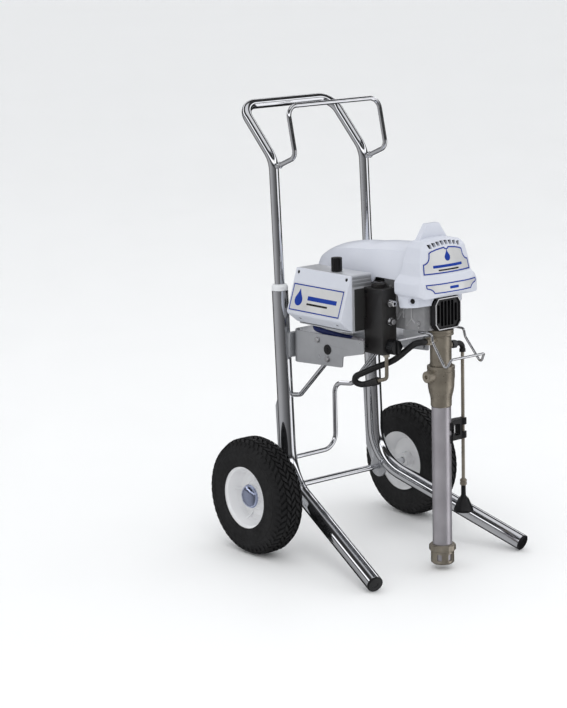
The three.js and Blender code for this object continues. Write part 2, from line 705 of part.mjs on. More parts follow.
function pumpFoot() {
  const body = pumpPiece(closedProfile([
    [12, 346], [22, 346], [22.5, 366], [27, 384], [29, 410], [29, 432.7], [12, 432.7],
  ]));
  const boss = bar(vec(-15, PUMP_Y, 413), vec(-42, PUMP_Y, 413), 13, 12);
  const bore = bar(vec(0, PUMP_Y, 340), vec(0, PUMP_Y, 440), 12);
  return joinAll(body, boss).subtract(solid(bore));
}

function suctionTube() {
  return pumpPiece(closedProfile([[17, 50.3], [20.5, 50.3], [20.5, 345.7], [17, 345.7]]));
}

function strainerCollar() {
  const profile = [[25, 50], [28.5, 47], [28.5, 38], [26.5, 36], [17, 36], [17, 50]];
  return pumpPiece(closedProfile(profile));
}

/** Cup-shaped strainer with slots through its wall. */
function strainer() {
  const cup = pumpPiece([[0, 8], [22, 8], [24.5, 11], [24.5, 35.7], [19, 35.7], [19, 12], [0, 12]]);
  const slots = [0, 1, 2].map((index) => {
    const slot = box(vec(-3, -40, 17), vec(3, 40, 28)).rotateZ(index * Math.PI / 3);
    return slot.translate(0, PUMP_Y, 0);
  });
  const inlets = [0, 1, 2].map((index) => {
    const angle = index * 2 * Math.PI / 3;
    return bar(vec(9 * Math.cos(angle), PUMP_Y + 9 * Math.sin(angle), 0), vec(9 * Math.cos(angle),
      PUMP_Y + 9 * Math.sin(angle), 20), 5, 12);
  });
  return subtractAll(cup, ...slots, ...inlets);
}

function outletFitting() {
  const hex = bar(vec(-27 - GAP, PUMP_Y, 488), vec(-36, PUMP_Y, 488), 9.5, 6);
  const ferrule = bar(vec(-35, PUMP_Y, 488), vec(-42, PUMP_Y, 488), 7.5, 12);
  return joinAll(hex, ferrule);
}

/** Drain pipe's elbow on the pump's right side. */
function drainElbow() {
  const route = bentRoute([vec(28 + GAP, PUMP_Y, 472), vec(62, PUMP_Y, 472), vec(62, PUMP_Y, 452)], 12);
  const nut = bar(vec(30, PUMP_Y, 472), vec(42, PUMP_Y, 472), 9, 6);
  return joinAll(tube(route, 5.5, 12), nut);
}

function drainTube() {
  const pipe = bar(vec(62, PUMP_Y, 178), vec(62, PUMP_Y, 452 - GAP), 3.6, 12);
  const nut = bar(vec(62, PUMP_Y, 165), vec(62, PUMP_Y, 179), 7.2, 12);
  return joinAll(pipe, nut);
}

/** Conical splash deflector at the drain pipe's end. */
function deflector() {
  const profile = [
    [3, 108], [19, 108], [20.5, 113], [10, 138], [5, 142], [5, 165 - GAP], [3, 165 - GAP],
  ];
  return turned(closedProfile(profile)).translate(62, PUMP_Y, 0);
}

/** Clip with two fingers on the suction tube and two on the drain pipe. */
function tubeClip() {
  const arc = (x, radius, from, to) => {
    const points = [];
    for (let k = 0; k <= 6; k += 1) {
      const angle = THREE.MathUtils.degToRad(from + (to - from) * k / 6);
      points.push([x + radius * Math.cos(angle), PUMP_Y + radius * Math.sin(angle)]);
    }
    return points;
  };
  const outline = [
    ...arc(0, 24, 75, 20), [50, PUMP_Y + 8], ...arc(62, 7.5, 130, 40), ...arc(62, 4, 40, 320),
    ...arc(62, 7.5, 320, 230), [50, PUMP_Y - 8], ...arc(0, 24, -20, -75), ...arc(0, 21.4, -75, 75),
  ];
  const clip = flat(polygon(outline), 44).translate(0, 0, 268);
  const gapNearTube = box(vec(-10, PUMP_Y - 40, 285), vec(26, PUMP_Y + 40, 295));
  const gapNearPipe = box(vec(54, PUMP_Y - 40, 283), vec(75, PUMP_Y + 40, 297));
  return subtractAll(clip, gapNearTube, gapNearPipe);
}

/** Bent wire in front of the pump, on which a pail hangs. */
function pailHook() {
  const half = (side) => [
    vec(side * 45, -314, 507), vec(side * 45, -352, 507), vec(side * 46, -356, 490),
    vec(side * 50, -398, 440), vec(side * 46, -411, 462),
  ];
  const corners = [...half(-1), ...half(1).reverse()];
  return tube(bentRoute(corners, [6, 8, 7, 4, 4, 7, 8, 6]), 2.6);
}

// ---------------------------------------------------------------- control box

const BOX_FRONT_Y = -205;
const BOX_REAR_Y = -34;
const BOX_TOP_Z = 621;
const BOX_BOTTOM_Z = 500;
const BOX_SPLIT_X = -131;
const BOX_INNER_X = -76;

/** Sheet-metal half of the control box, open towards the panel. */
function controlHousing() {
  const outer = box(vec(BOX_SPLIT_X, BOX_FRONT_Y, BOX_BOTTOM_Z), vec(BOX_INNER_X, BOX_REAR_Y, BOX_TOP_Z));
  const wall = 2.5;
  const inner = box(
    vec(BOX_SPLIT_X - 5, BOX_FRONT_Y + wall, BOX_BOTTOM_Z + wall),
    vec(BOX_INNER_X - wall, BOX_REAR_Y - wall, BOX_TOP_Z - wall),
  );
  const knobHole = bar(vec(-113, -138, BOX_TOP_Z - 10), vec(-113, -138, BOX_TOP_Z + 10), 5);
  const switchHole = bar(vec(-122, BOX_REAR_Y - 10, 592), vec(-122, BOX_REAR_Y + 10, 592), 6);
  const cordHole = bar(vec(-96, BOX_REAR_Y - 10, 530), vec(-96, BOX_REAR_Y + 10, 530), 9);
  const hoseHole = bar(vec(-104, -56, BOX_BOTTOM_Z - 5), vec(-104, -56, BOX_BOTTOM_Z + 10), 4.5);
  return subtractAll(outer, inner, knobHole, switchHole, cordHole, hoseHole);
}

/** White folded panel: a sloping face, a nose and an underside, closed at both ends. */
function controlPanel() {
  const edgeX = BOX_SPLIT_X - GAP;
  const outer = [[edgeX, BOX_TOP_Z], [-134, BOX_TOP_Z], [-164, 531], [-162, 526], [edgeX, 502]];
  const inner = [[edgeX + 8, BOX_TOP_Z - 3], [-135, BOX_TOP_Z - 3], [-160.5, 531.5], [edgeX + 8, 502]];
  const shell = frontPlate(outer, BOX_FRONT_Y - 1.5, BOX_REAR_Y - BOX_FRONT_Y + 3);
  const hollow = frontPlate(inner, BOX_FRONT_Y + 1.5, BOX_REAR_Y - BOX_FRONT_Y - 3);
  return subtractAll(shell, hollow);
}

function circuitBoard() {
  return box(vec(-100, -190, 515), vec(-98, -50, 605));
}

function pressureKnob() {
  const profile = [
    [0, BOX_TOP_Z - 8], [3.5, BOX_TOP_Z - 8], [3.5, BOX_TOP_Z + 1], [11.5, BOX_TOP_Z + 1],
    [11.5, BOX_TOP_Z + 27], [10, BOX_TOP_Z + 30], [0, BOX_TOP_Z + 30],
  ];
  const knob = turned(profile).translate(-113, -138, 0);
  const pointer = box(vec(-114, -150.5, BOX_TOP_Z + 5), vec(-112, -147, BOX_TOP_Z + 28));
  return joinAll(knob, pointer);
}

/** Toggle lever with its boot, tilted on the box's rear end. */
function powerSwitch() {
  const lever = bar(vec(-122, BOX_REAR_Y - 6, 592), vec(-122, BOX_REAR_Y + 16, 600), 3, 10);
  const boot = bar(vec(-122, BOX_REAR_Y + 3, 594), vec(-122, BOX_REAR_Y + 10, 597), 5, 12, 4);
  return joinAll(boot, lever);
}

function cordGland() {
  const nut = bar(vec(-96, BOX_REAR_Y + GAP, 530), vec(-96, BOX_REAR_Y + 8, 530), 12, 6);
  const sleeve = bar(vec(-96, BOX_REAR_Y - 6, 530), vec(-96, BOX_REAR_Y + 18, 530), 8, 14);
  const bore = bar(vec(-96, BOX_REAR_Y - 20, 530), vec(-96, BOX_REAR_Y + 30, 530), 4.5, 12);
  return joinAll(nut, sleeve).subtract(solid(bore));
}

// ---------------------------------------------------------------- manifold and hoses

const MANIFOLD_FRONT_Y = -263;
const MANIFOLD_REAR_Y = -207;
const MANIFOLD_TOP_Z = 595;
const MANIFOLD_BOTTOM_Z = 457;
const FILTER_X = -79;
const FILTER_Y = -231;

function manifoldBlock() {
  const block = box(
    vec(-100, MANIFOLD_FRONT_Y, MANIFOLD_BOTTOM_Z), vec(-60 - GAP, MANIFOLD_REAR_Y, MANIFOLD_TOP_Z),
  );
  const filterBore = bar(vec(FILTER_X, FILTER_Y, 492), vec(FILTER_X, FILTER_Y, MANIFOLD_TOP_Z + 5), 14);
  const outletBore = bar(vec(-82, MANIFOLD_FRONT_Y - 5, 566), vec(-82, FILTER_Y, 566), 5);
  const sensorBore = bar(vec(-80, MANIFOLD_FRONT_Y - 5, 527), vec(-80, FILTER_Y, 527), 4);
  const frontY = MANIFOLD_FRONT_Y;
  const valveBore = bar(vec(FILTER_X, frontY - 5, 474), vec(FILTER_X, frontY + 22, 474), 5);
  const recess = box(vec(-105, MANIFOLD_REAR_Y - 9, 530), vec(-95, MANIFOLD_REAR_Y + 5, 575));
  return subtractAll(block, filterBore, outletBore, sensorBore, valveBore, recess);
}

function filterElement() {
  return turned(closedProfile([[8, 496], [11, 496], [11, 588], [8, 588]])).translate(FILTER_X, FILTER_Y, 0);
}

function filterCap() {
  const profile = [
    [0, 589], [13, 589], [13, MANIFOLD_TOP_Z + GAP], [16, MANIFOLD_TOP_Z + GAP], [16, 602], [11, 606],
    [0, 606],
  ];
  return turned(profile).translate(FILTER_X, FILTER_Y, 0);
}

function hoseOutlet() {
  const y = MANIFOLD_FRONT_Y - GAP;
  const hex = bar(vec(-82, y, 566), vec(-82, y - 8, 566), 9, 6);
  const spigot = bar(vec(-82, y - 7, 566), vec(-82, y - 19, 566), 6.5, 14);
  const bore = bar(vec(-82, y - 30, 566), vec(-82, y + 5, 566), 3, 10);
  return joinAll(hex, spigot).subtract(solid(bore));
}

function pressureSensor() {
  const y = MANIFOLD_FRONT_Y - GAP;
  const ring = bar(vec(-80, y, 527), vec(-80, y - 5, 527), 9, 12);
  const plug = bar(vec(-80, y - 4, 527), vec(-80, y - 14, 527), 6.5, 6);
  return joinAll(ring, plug);
}

/** Prime valve knob: a lobed cap on a short stem. */
function primeValveKnob() {
  const y = MANIFOLD_FRONT_Y;
  const stem = bar(vec(FILTER_X, y + 14, 474), vec(FILTER_X, y - 4, 474), 4.2, 12);
  const cap = bar(vec(FILTER_X, y - 2, 474), vec(FILTER_X, y - 22, 474), 16, 16, 14.5);
  const grip = box(vec(FILTER_X - 3, y - 26, 461), vec(FILTER_X + 3, y - 20, 487));
  return joinAll(cap, stem, grip);
}

const JUMPER_ROUTE = [
  vec(-94.2, -164.8, 479), vec(-98, -140, 480), vec(-103, -105, 483), vec(-106, -76, 486),
  vec(-106, -61, 488.5), vec(-104.6, -56.4, 492), vec(-104, -56, 495),
];

function jumperHose() {
  return tube(smoothRoute(JUMPER_ROUTE, 14), 6.2, 10);
}

function jumperFerrule() {
  const ferrule = bar(vec(-94, -166 - GAP, 479), vec(-93, -190, 477.5), 6.8, 14);
  const nut = bar(vec(-93, -189, 477.5), vec(-92.6, -199, 477), 8, 6);
  const nipple = bar(vec(-92.6, -198, 477), vec(-92.4, MANIFOLD_REAR_Y + GAP, 476.6), 5, 12);
  return joinAll(ferrule, nut, nipple);
}

/** Bronze pipe from the manifold's bottom to the loop hose's lower end. */
function manifoldPipe() {
  const corners = [vec(-77, -249, MANIFOLD_BOTTOM_Z - GAP), vec(-77, -249, 403), vec(-82, -229, 397)];
  const nut = bar(vec(-77, -249, MANIFOLD_BOTTOM_Z - GAP), vec(-77, -249, 449), 7, 6);
  return joinAll(tube(bentRoute(corners, 9), 4, 10), nut);
}

/** Collar and ferrule at the loop hose's lower end. */
function hoseElbow() {
  const start = vec(-82.1, -228.6, 396.9);
  const middle = vec(-86, -213, 391);
  const collarPiece = bar(start, middle, 8.5, 12);
  const ferrule = bar(vec(-85.7, -214, 391.4), vec(-89, -200, 387), 7, 12);
  return joinAll(collarPiece, ferrule);
}

const LOOP_ROUTE = [
  vec(-89.4, -198.6, 386.6), vec(-94, -186, 384.5), vec(-101, -177, 390), vec(-101, -179, 401),
  vec(-94, -192, 409), vec(-80, -218, 423), vec(-64, -249, 438), vec(-58, -268, 451), vec(-57, -288, 466),
  vec(-58, -306, 478), vec(-58, -320, 485.5), vec(-53, -329, 488), vec(-48.5, PUMP_Y, 488),
  vec(-43.4, PUMP_Y, 488),
];

function loopHose() {
  return tube(smoothRoute(LOOP_ROUTE, 26), 6.5, 10);
}

// ---------------------------------------------------------------- assembly

function buildCart(cart) {
  for (const [side, word] of [[-1, 'left'], [1, 'right']]) {
    addPart(cart, `frame_tube_${word}`, frameTube(side), 'chrome');
    addPart(cart, `leg_cap_${word}`, legCap(side), 'blackPlastic');
    addPart(cart, `collar_${word}`, collar(side), 'whitePlastic');
    addPart(cart, `gusset_${word}`, gusset(side), 'zinc');
    addPart(cart, `tyre_${word}`, tyre(side), 'rubber');
    addPart(cart, `rim_${word}`, rim(side), 'whitePaint');
    addPart(cart, `hubcap_${word}`, hubcap(side), 'chrome');
  }
  const axle = bar(vec(-AXLE_HALF_LENGTH, 0, WHEEL_R), vec(AXLE_HALF_LENGTH, 0, WHEEL_R), AXLE_R, 16);
  addPart(cart, 'axle_rod', axle, 'chrome');
  addPart(cart, 'handle_tube', handleTube(), 'chrome');
  addPart(cart, 'hose_rack', hoseRack(), 'chrome');
  addPart(cart, 'support_rod', supportRod(), 'chrome');
  addPart(cart, 'mounting_bracket', mountingBracket(), 'zinc');
  addPart(cart, 'bracket_bolt_upper', bracketBolt(...BRACKET_BOLTS[0]), 'zinc');
  addPart(cart, 'bracket_bolt_lower', bracketBolt(...BRACKET_BOLTS[1]), 'zinc');
}

function buildDrive(unit) {
  addPart(unit, 'motor_tray', motorTray(), 'zinc');
  addPart(unit, 'motor_can', motorCan(), 'blackAnodised');
  addPart(unit, 'motor_rotor', motorRotor(), 'steel');
  addPart(unit, 'cooling_fan', coolingFan(), 'blackPlastic');
  addPart(unit, 'drive_housing', driveHousing(), 'aluminium');
  addPart(unit, 'crank_gear', crankGear(), 'steel');
  addPart(unit, 'connecting_rod', connectingRod(), 'steel');
  addPart(unit, 'piston_rod', pistonRod(), 'chrome');
  addPart(unit, 'front_cover', frontCover(), 'whitePlastic');
  addPart(unit, 'motor_shroud', motorShroud(), 'whitePlastic');
  addPart(unit, 'front_guard', frontGuard(), 'blackPlastic');
}

function buildPump(unit) {
  addPart(unit, 'pump_cylinder', pumpCylinder(), 'bronze');
  addPart(unit, 'pump_foot', pumpFoot(), 'bronze');
  addPart(unit, 'suction_tube', suctionTube(), 'steel');
  addPart(unit, 'strainer_collar', strainerCollar(), 'bronze');
  addPart(unit, 'strainer', strainer(), 'bronze');
  addPart(unit, 'outlet_fitting', outletFitting(), 'bronze');
  addPart(unit, 'drain_elbow', drainElbow(), 'blackAnodised');
  addPart(unit, 'drain_tube', drainTube(), 'bronze');
  addPart(unit, 'deflector', deflector(), 'blackPlastic');
  addPart(unit, 'tube_clip', tubeClip(), 'blackPlastic');
  addPart(unit, 'pail_hook', pailHook(), 'chrome');
}

function buildControls(unit) {
  addPart(unit, 'control_housing', controlHousing(), 'aluminium');
  addPart(unit, 'control_panel', controlPanel(), 'whitePaint');
  addPart(unit, 'circuit_board', circuitBoard(), 'greenBoard');
  addPart(unit, 'pressure_knob', pressureKnob(), 'blackPlastic');
  addPart(unit, 'power_switch', powerSwitch(), 'blackPlastic');
  addPart(unit, 'cord_gland', cordGland(), 'blackPlastic');
  addPart(unit, 'manifold_block', manifoldBlock(), 'blackAnodised');
  addPart(unit, 'filter_element', filterElement(), 'steel');
  addPart(unit, 'filter_cap', filterCap(), 'blackAnodised');
  addPart(unit, 'hose_outlet', hoseOutlet(), 'chrome');
  addPart(unit, 'pressure_sensor', pressureSensor(), 'chrome');
  addPart(unit, 'prime_valve_knob', primeValveKnob(), 'blackPlastic');
}

function buildHoses(unit) {
  addPart(unit, 'jumper_hose', jumperHose(), 'blueHose');
  addPart(unit, 'jumper_ferrule', jumperFerrule(), 'chrome');
  addPart(unit, 'manifold_pipe', manifoldPipe(), 'bronze');
  addPart(unit, 'hose_elbow', hoseElbow(), 'blackAnodised');
  addPart(unit, 'loop_hose', loopHose(), 'rubber');
}

/** Splayed sprayer: the cart stands upright, and the unit leans about its pivot. */
function buildSprayer() {
  const sprayer = new THREE.Group();
  const cart = new THREE.Group();
  cart.position.y = -DEPTH_CENTRE_Y;
  sprayer.add(cart);
  const pivot = new THREE.Group();
  pivot.position.copy(UNIT_PIVOT);
  pivot.rotation.x = UNIT_TILT;
  cart.add(pivot);
  const unit = new THREE.Group();
  unit.position.copy(UNIT_PIVOT).negate();
  pivot.add(unit);
  buildCart(cart);
  buildDrive(unit);
  buildPump(unit);
  buildControls(unit);
  buildHoses(unit);
  return sprayer;
}

export default buildSprayer();
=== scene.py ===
"""Looks of the airless paint sprayer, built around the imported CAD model.

Pieces are drawn in millimetres in one of two systems and then moved into the frame, in metres:
CART stands on the floor under the axle, and UNIT leans with the pump. +X is the axle, -Y the pump's front.
"""
import json
import math

import bmesh
import bpy
from mathutils import Matrix, Quaternion, Vector
from mathutils.bvhtree import BVHTree
from mathutils.geometry import delaunay_2d_cdt


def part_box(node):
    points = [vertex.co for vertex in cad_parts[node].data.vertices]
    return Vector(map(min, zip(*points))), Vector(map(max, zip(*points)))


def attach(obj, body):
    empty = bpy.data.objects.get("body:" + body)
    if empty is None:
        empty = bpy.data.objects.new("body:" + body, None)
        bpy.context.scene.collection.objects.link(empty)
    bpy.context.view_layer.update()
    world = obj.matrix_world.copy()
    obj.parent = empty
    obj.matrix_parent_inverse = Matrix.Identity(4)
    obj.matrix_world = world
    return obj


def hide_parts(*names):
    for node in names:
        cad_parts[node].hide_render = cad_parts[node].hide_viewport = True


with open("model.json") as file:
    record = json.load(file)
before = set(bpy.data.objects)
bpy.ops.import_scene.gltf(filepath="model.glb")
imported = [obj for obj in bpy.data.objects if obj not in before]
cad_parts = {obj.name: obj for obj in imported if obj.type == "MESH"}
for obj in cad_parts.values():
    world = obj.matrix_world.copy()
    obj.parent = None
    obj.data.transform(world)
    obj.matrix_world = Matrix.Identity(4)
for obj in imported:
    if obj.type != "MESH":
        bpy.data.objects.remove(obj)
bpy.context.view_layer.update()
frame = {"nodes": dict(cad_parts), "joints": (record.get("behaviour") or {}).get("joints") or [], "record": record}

RECORD = frame["record"]
BODY_OF = {node: body for body, nodes in RECORD["behaviour"]["bodies"].items() for node in nodes}
SLOT_OF = {part["node"]: part["material_slot"] for part in RECORD["subparts"]}
JOINT_AXIS = {joint["name"]: Vector(joint["axis"]) for joint in frame["joints"]}

MM = 0.001
WHEEL_R = 127
SIDES = ((-1, "left"), (1, "right"))

# ---------------------------------------------------------------- the two systems

_axle_low, _axle_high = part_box("axle_rod")
_axle = (_axle_low + _axle_high) / 2
UNIT_PIVOT = Vector((0, -170, 500))
_lean = JOINT_AXIS["piston_slide"]
UNIT_TILT = math.atan2(-_lean.y, _lean.z)
CART = Matrix.Translation((0, _axle.y, _axle.z - WHEEL_R * MM)) @ Matrix.Scale(MM, 4)
UNIT = (CART @ Matrix.Translation(UNIT_PIVOT) @ Matrix.Rotation(UNIT_TILT, 4, "X")
        @ Matrix.Translation(-UNIT_PIVOT))

# ---------------------------------------------------------------- driving sizes, in millimetres

UPRIGHT_X = 127.5
CORNER_Y, CORNER_Z = 7.4, 144.2
LEAN = math.radians(3.8)
FRAME_R = 17.5
FRAME_TOP_Z = 557
LEG_TIP = (213.8, -370.7, 16.65)
LEG_CAP = 4
HANDLE_R = 10.5
ROD_R = 5
WHEEL_MID_X = 226
PUMP_Y = -331
MOTOR_Z = 592
BOX_FRONT_Y, BOX_REAR_Y = -205, -34
BOX_TOP_Z, BOX_BOTTOM_Z = 621, 500
BOX_SPLIT_X, BOX_INNER_X = -131, -76
MANIFOLD_FRONT_Y, MANIFOLD_REAR_Y = -263, -207
MANIFOLD_TOP_Z, MANIFOLD_BOTTOM_Z = 595, 457
FILTER_X, FILTER_Y = -79, -231
OUTLET_X, OUTLET_Z = -82, 566
SENSOR_X, SENSOR_Z = -80, 527
PRIME_Z = 474
DIAL_X, DIAL_Y = -113, -138
TOGGLE_X, TOGGLE_Z = -122, 592
GLAND_X, GLAND_Z = -96, 530
JUMPER_X, JUMPER_Y = -104, -56
PUMP_OUT_Z, DRAIN_OUT_Z, DRAIN_X = 488, 472, 62
ROD_EYE_Z = 564
GROMMET_Y, GROMMET_Z = -119, 452
TUBE_FIT = 0.3
MOULDING_WALL = 3

# ---------------------------------------------------------------- mesh helpers


def v(x, y, z):
    return Vector((x, y, z))


def bent(corners, radii):
    """Straight runs between corners, each inner corner rounded to its radius."""
    step = math.radians(5)
    points = [corners[0].copy()]
    for i in range(1, len(corners) - 1):
        radius = radii[i - 1] if isinstance(radii, (list, tuple)) else radii
        back = (corners[i - 1] - corners[i]).normalized()
        onward = (corners[i + 1] - corners[i]).normalized()
        opening = back.angle(onward)
        centre = corners[i] + (back + onward).normalized() * (radius / math.sin(opening / 2))
        start = corners[i] + back * (radius / math.tan(opening / 2)) - centre
        axis = (-back).cross(onward).normalized()
        steps = max(2, math.ceil((math.pi - opening) / step))
        for k in range(steps + 1):
            points.append(Quaternion(axis, (math.pi - opening) * k / steps) @ start + centre)
    points.append(corners[-1].copy())
    return points


def smooth_route(points):
    """A centripetal Catmull-Rom curve through the points."""
    per_span = 8
    ends = [points[0] * 2 - points[1], *points, points[-1] * 2 - points[-2]]
    route = []
    for p0, p1, p2, p3 in zip(ends, ends[1:], ends[2:], ends[3:]):
        t1 = (p1 - p0).length ** 0.5
        t2 = t1 + (p2 - p1).length ** 0.5
        t3 = t2 + (p3 - p2).length ** 0.5
        for k in range(per_span):
            t = t1 + (t2 - t1) * k / per_span
            a1 = p0.lerp(p1, t / t1)
            a2 = p1.lerp(p2, (t - t1) / (t2 - t1))
            a3 = p2.lerp(p3, (t - t2) / (t3 - t2))
            b1 = a1.lerp(a2, t / t2)
            b2 = a2.lerp(a3, (t - t1) / (t3 - t1))
            route.append(b1.lerp(b2, (t - t1) / (t2 - t1)))
    route.append(points[-1].copy())
    return route


def skin(rings, capped=True, closed=False):
    """A mesh over rings with the same number of points; a ring of one point is a pole."""
    bm = bmesh.new()
    made = [[bm.verts.new(point) for point in ring] for ring in rings]
    pairs = list(zip(made, made[1:]))
    if closed:
        pairs.append((made[-1], made[0]))
    for low, high in pairs:
        count = max(len(low), len(high))
        for k in range(count):
            face = []
            for ring, index in ((low, k), (low, k + 1), (high, k + 1), (high, k)):
                vert = ring[index % len(ring)]
                if vert not in face:
                    face.append(vert)
            if len(face) > 2:
                bm.faces.new(face)
    if capped and not closed:
        for ring in (made[0], made[-1]):
            if len(ring) > 2:
                bm.faces.new(ring)
    bmesh.ops.recalc_face_normals(bm, faces=bm.faces)
    return bm


def circle(count):
    """Cosine and sine of each of a number of even steps round a full turn."""
    return [(math.cos(2 * math.pi * k / count), math.sin(2 * math.pi * k / count)) for k in range(count)]


def sweep(points, radius, sides=24, fillet=0.8):
    """A round rod along a route, with its two end edges rounded; radius may be a function of 0..1."""
    size = radius if callable(radius) else (lambda t: radius)
    along = [0.0]
    for a, b in zip(points, points[1:]):
        along.append(along[-1] + (b - a).length)
    total = along[-1]
    shoulder = fillet * 0.3
    first = (points[1] - points[0]).normalized()
    last = (points[-1] - points[-2]).normalized()
    stations = [(points[0], -fillet), (points[0] + first * shoulder, -shoulder),
                (points[0] + first * fillet, 0), *((point, 0) for point in points[1:-1]),
                (points[-1] - last * fillet, 0), (points[-1] - last * shoulder, -shoulder),
                (points[-1], -fillet)]
    places = [0, 0, 0, *[a / total for a in along[1:-1]], 1, 1, 1]
    normal = first.orthogonal().normalized()
    rings = []
    for i, ((centre, trim), place) in enumerate(zip(stations, places)):
        before = stations[max(i - 1, 0)][0]
        after = stations[min(i + 1, len(stations) - 1)][0]
        tangent = (after - before).normalized()
        normal = (normal - tangent * normal.dot(tangent)).normalized()
        side = tangent.cross(normal)
        reach = size(place) + trim
        rings.append([centre + (normal * c + side * s) * reach for c, s in circle(sides)])
    return skin(rings)


def rounded(outline, radius, steps=4, closed=True):
    """A 2D outline with its corners rounded; a radius that does not fit its edges is shortened."""
    points = [Vector(p) for p in outline]
    count = len(points)
    result = []
    for i, point in enumerate(points):
        if not closed and i in (0, count - 1):
            result.append(point)
            continue
        before, after = points[i - 1] - point, points[(i + 1) % count] - point
        shortest = min(before.length, after.length)
        opening = before.angle(after) if shortest > 1e-6 else math.pi
        if opening > math.radians(176) or opening < math.radians(4):
            result.append(point)
            continue
        trim = min(radius / math.tan(opening / 2), shortest * 0.45)
        reach = trim * math.tan(opening / 2)
        back, onward = before.normalized(), after.normalized()
        centre = point + (back + onward).normalized() * (reach / math.sin(opening / 2))
        start, end = point + back * trim - centre, point + onward * trim - centre
        turn = start.angle_signed(end)
        result += [centre + Matrix.Rotation(-turn * k / steps, 2) @ start for k in range(steps + 1)]
    return [(p.x, p.y) for p in result]


ON_AXIS = 1e-6


def lathe(profile, sides=48, fillet=0.6, closed=False):
    """Turns [radius, height] points about Z; open profiles start and end on the axis."""
    points = rounded(profile, fillet, 3, closed) if fillet else profile
    rings = []
    for radius, height in points:
        if radius < ON_AXIS:
            rings.append([v(0, 0, height)])
        else:
            rings.append([v(radius * c, radius * s, height) for c, s in circle(sides)])
    return skin(rings, capped=False, closed=closed)


def placed(axis, a, b, height):
    """A point at a height along an axis; a and b are its other two coordinates, in their usual order."""
    return {"Z": v(a, b, height), "Y": v(a, height, b), "X": v(height, a, b)}[axis]


def prism(outline, low, high, axis="Z"):
    """Extrudes an outline: [x, y] along Z, [x, z] along Y or [y, z] along X."""
    return skin([[placed(axis, a, b, height) for a, b in outline] for height in (low, high)])


def block(low, high):
    (x0, y0, z0), (x1, y1, z1) = low, high
    return prism([(x0, y0), (x1, y0), (x1, y1), (x0, y1)], z0, z1)


def bar(start, end, radius, sides=32, end_radius=None, fillet=0.5):
    """A round bar between two points, with small rounded edges."""
    span = end - start
    last = radius if end_radius is None else end_radius
    profile = [(0, 0), (radius, 0), (last, span.length), (0, span.length)]
    bm = lathe(profile, sides, fillet)
    return moved(bm, Matrix.Translation(start) @ span.to_track_quat("Z", "Y").to_matrix().to_4x4())


def hexagon(start, end, radius):
    return bar(start, end, radius, 6, fillet=0.9)


def rod(axis, a, b, low, high, radius, sides=32, end_radius=None, fillet=0.5):
    """A round bar parallel to an axis, placed across it as prism places its outline."""
    return bar(placed(axis, a, b, low), placed(axis, a, b, high), radius, sides, end_radius, fillet)


def nut(axis, a, b, low, high, radius):
    return rod(axis, a, b, low, high, radius, 6, fillet=0.9)


def moved(bm, matrix):
    bmesh.ops.transform(bm, matrix=matrix, verts=bm.verts)
    return bm


def shifted(bm, x, y, z):
    return moved(bm, Matrix.Translation((x, y, z)))


def joined(*parts):
    """Puts several closed bodies into one mesh."""
    whole = parts[0]
    for part in parts[1:]:
        shell = bpy.data.meshes.new("part")
        part.to_mesh(shell)
        part.free()
        whole.from_mesh(shell)
        bpy.data.meshes.remove(shell)
    return whole


def linked(name, data):
    """Adds an object to the scene."""
    obj = bpy.data.objects.new(name, data)
    bpy.context.scene.collection.objects.link(obj)
    return obj


def solid(name, bm):
    """Turns a bmesh into an object of the scene."""
    mesh = bpy.data.meshes.new(name)
    bm.to_mesh(mesh)
    bm.free()
    return linked(name, mesh)


def baked(obj, *others):
    """The bmesh of an object with its modifiers applied; the objects are removed."""
    graph = bpy.context.evaluated_depsgraph_get()
    graph.update()
    bm = bmesh.new()
    result = obj.evaluated_get(graph)
    bm.from_mesh(result.to_mesh())
    result.to_mesh_clear()
    for old in (obj, *others):
        mesh = old.data
        bpy.data.objects.remove(old)
        bpy.data.meshes.remove(mesh)
    return bm


def boolean(base, operation, *tools):
    """Joins, cuts or intersects closed meshes, one after another."""
    subject = solid("subject", base)
    helpers = [solid("tool", tool) for tool in tools]
    for helper in helpers:
        change = subject.modifiers.new("boolean", "BOOLEAN")
        change.operation = operation
        change.solver = "EXACT"
        change.object = helper
    return baked(subject, *helpers)


def cut(base, *tools):
    return boolean(base, "DIFFERENCE", *tools)


def fused(base, *tools):
    return boolean(base, "UNION", *tools)


def bevelled(bm, width=0.8, segments=2, angle=32):
    subject = solid("subject", bm)
    change = subject.modifiers.new("bevel", "BEVEL")
    change.width = width
    change.segments = segments
    change.limit_method = "ANGLE"
    change.angle_limit = math.radians(angle)
    change.use_clamp_overlap = True
    change.miter_outer = "MITER_ARC"
    return baked(subject)


def remeshed(bm, voxel, rounds):
    """Voxel remesh and smooth: edges come out softly rounded, as moulded ones are."""
    subject = solid("subject", bm)
    grid = subject.modifiers.new("grid", "REMESH")
    grid.mode = "VOXEL"
    grid.voxel_size = voxel
    soften = subject.modifiers.new("soften", "SMOOTH")
    soften.factor = 0.5
    soften.iterations = rounds
    return baked(subject)


def wavy(centre, radii):
    """A closed outline round a centre, whose radius changes from point to point."""
    return [(centre[0] + radius * c, centre[1] + radius * s)
            for radius, (c, s) in zip(radii, circle(len(radii)))]


def ring_points(centre, radius, count):
    return wavy(centre, [radius] * count)


def shaded(name, bm, material, sharp, system):
    """Moves a body drawn in one of the systems into the frame and gives it its material."""
    moved(bm, system)
    bmesh.ops.remove_doubles(bm, verts=bm.verts, dist=1e-7)
    bmesh.ops.recalc_face_normals(bm, faces=bm.faces)
    obj = solid(name, bm)
    mesh = obj.data
    mesh.polygons.foreach_set("use_smooth", [True] * len(mesh.polygons))
    mesh.set_sharp_from_angle(angle=math.radians(sharp))
    mesh.materials.append(material)
    obj.modifiers.new("even_normals", "WEIGHTED_NORMAL").keep_sharp = True
    return obj


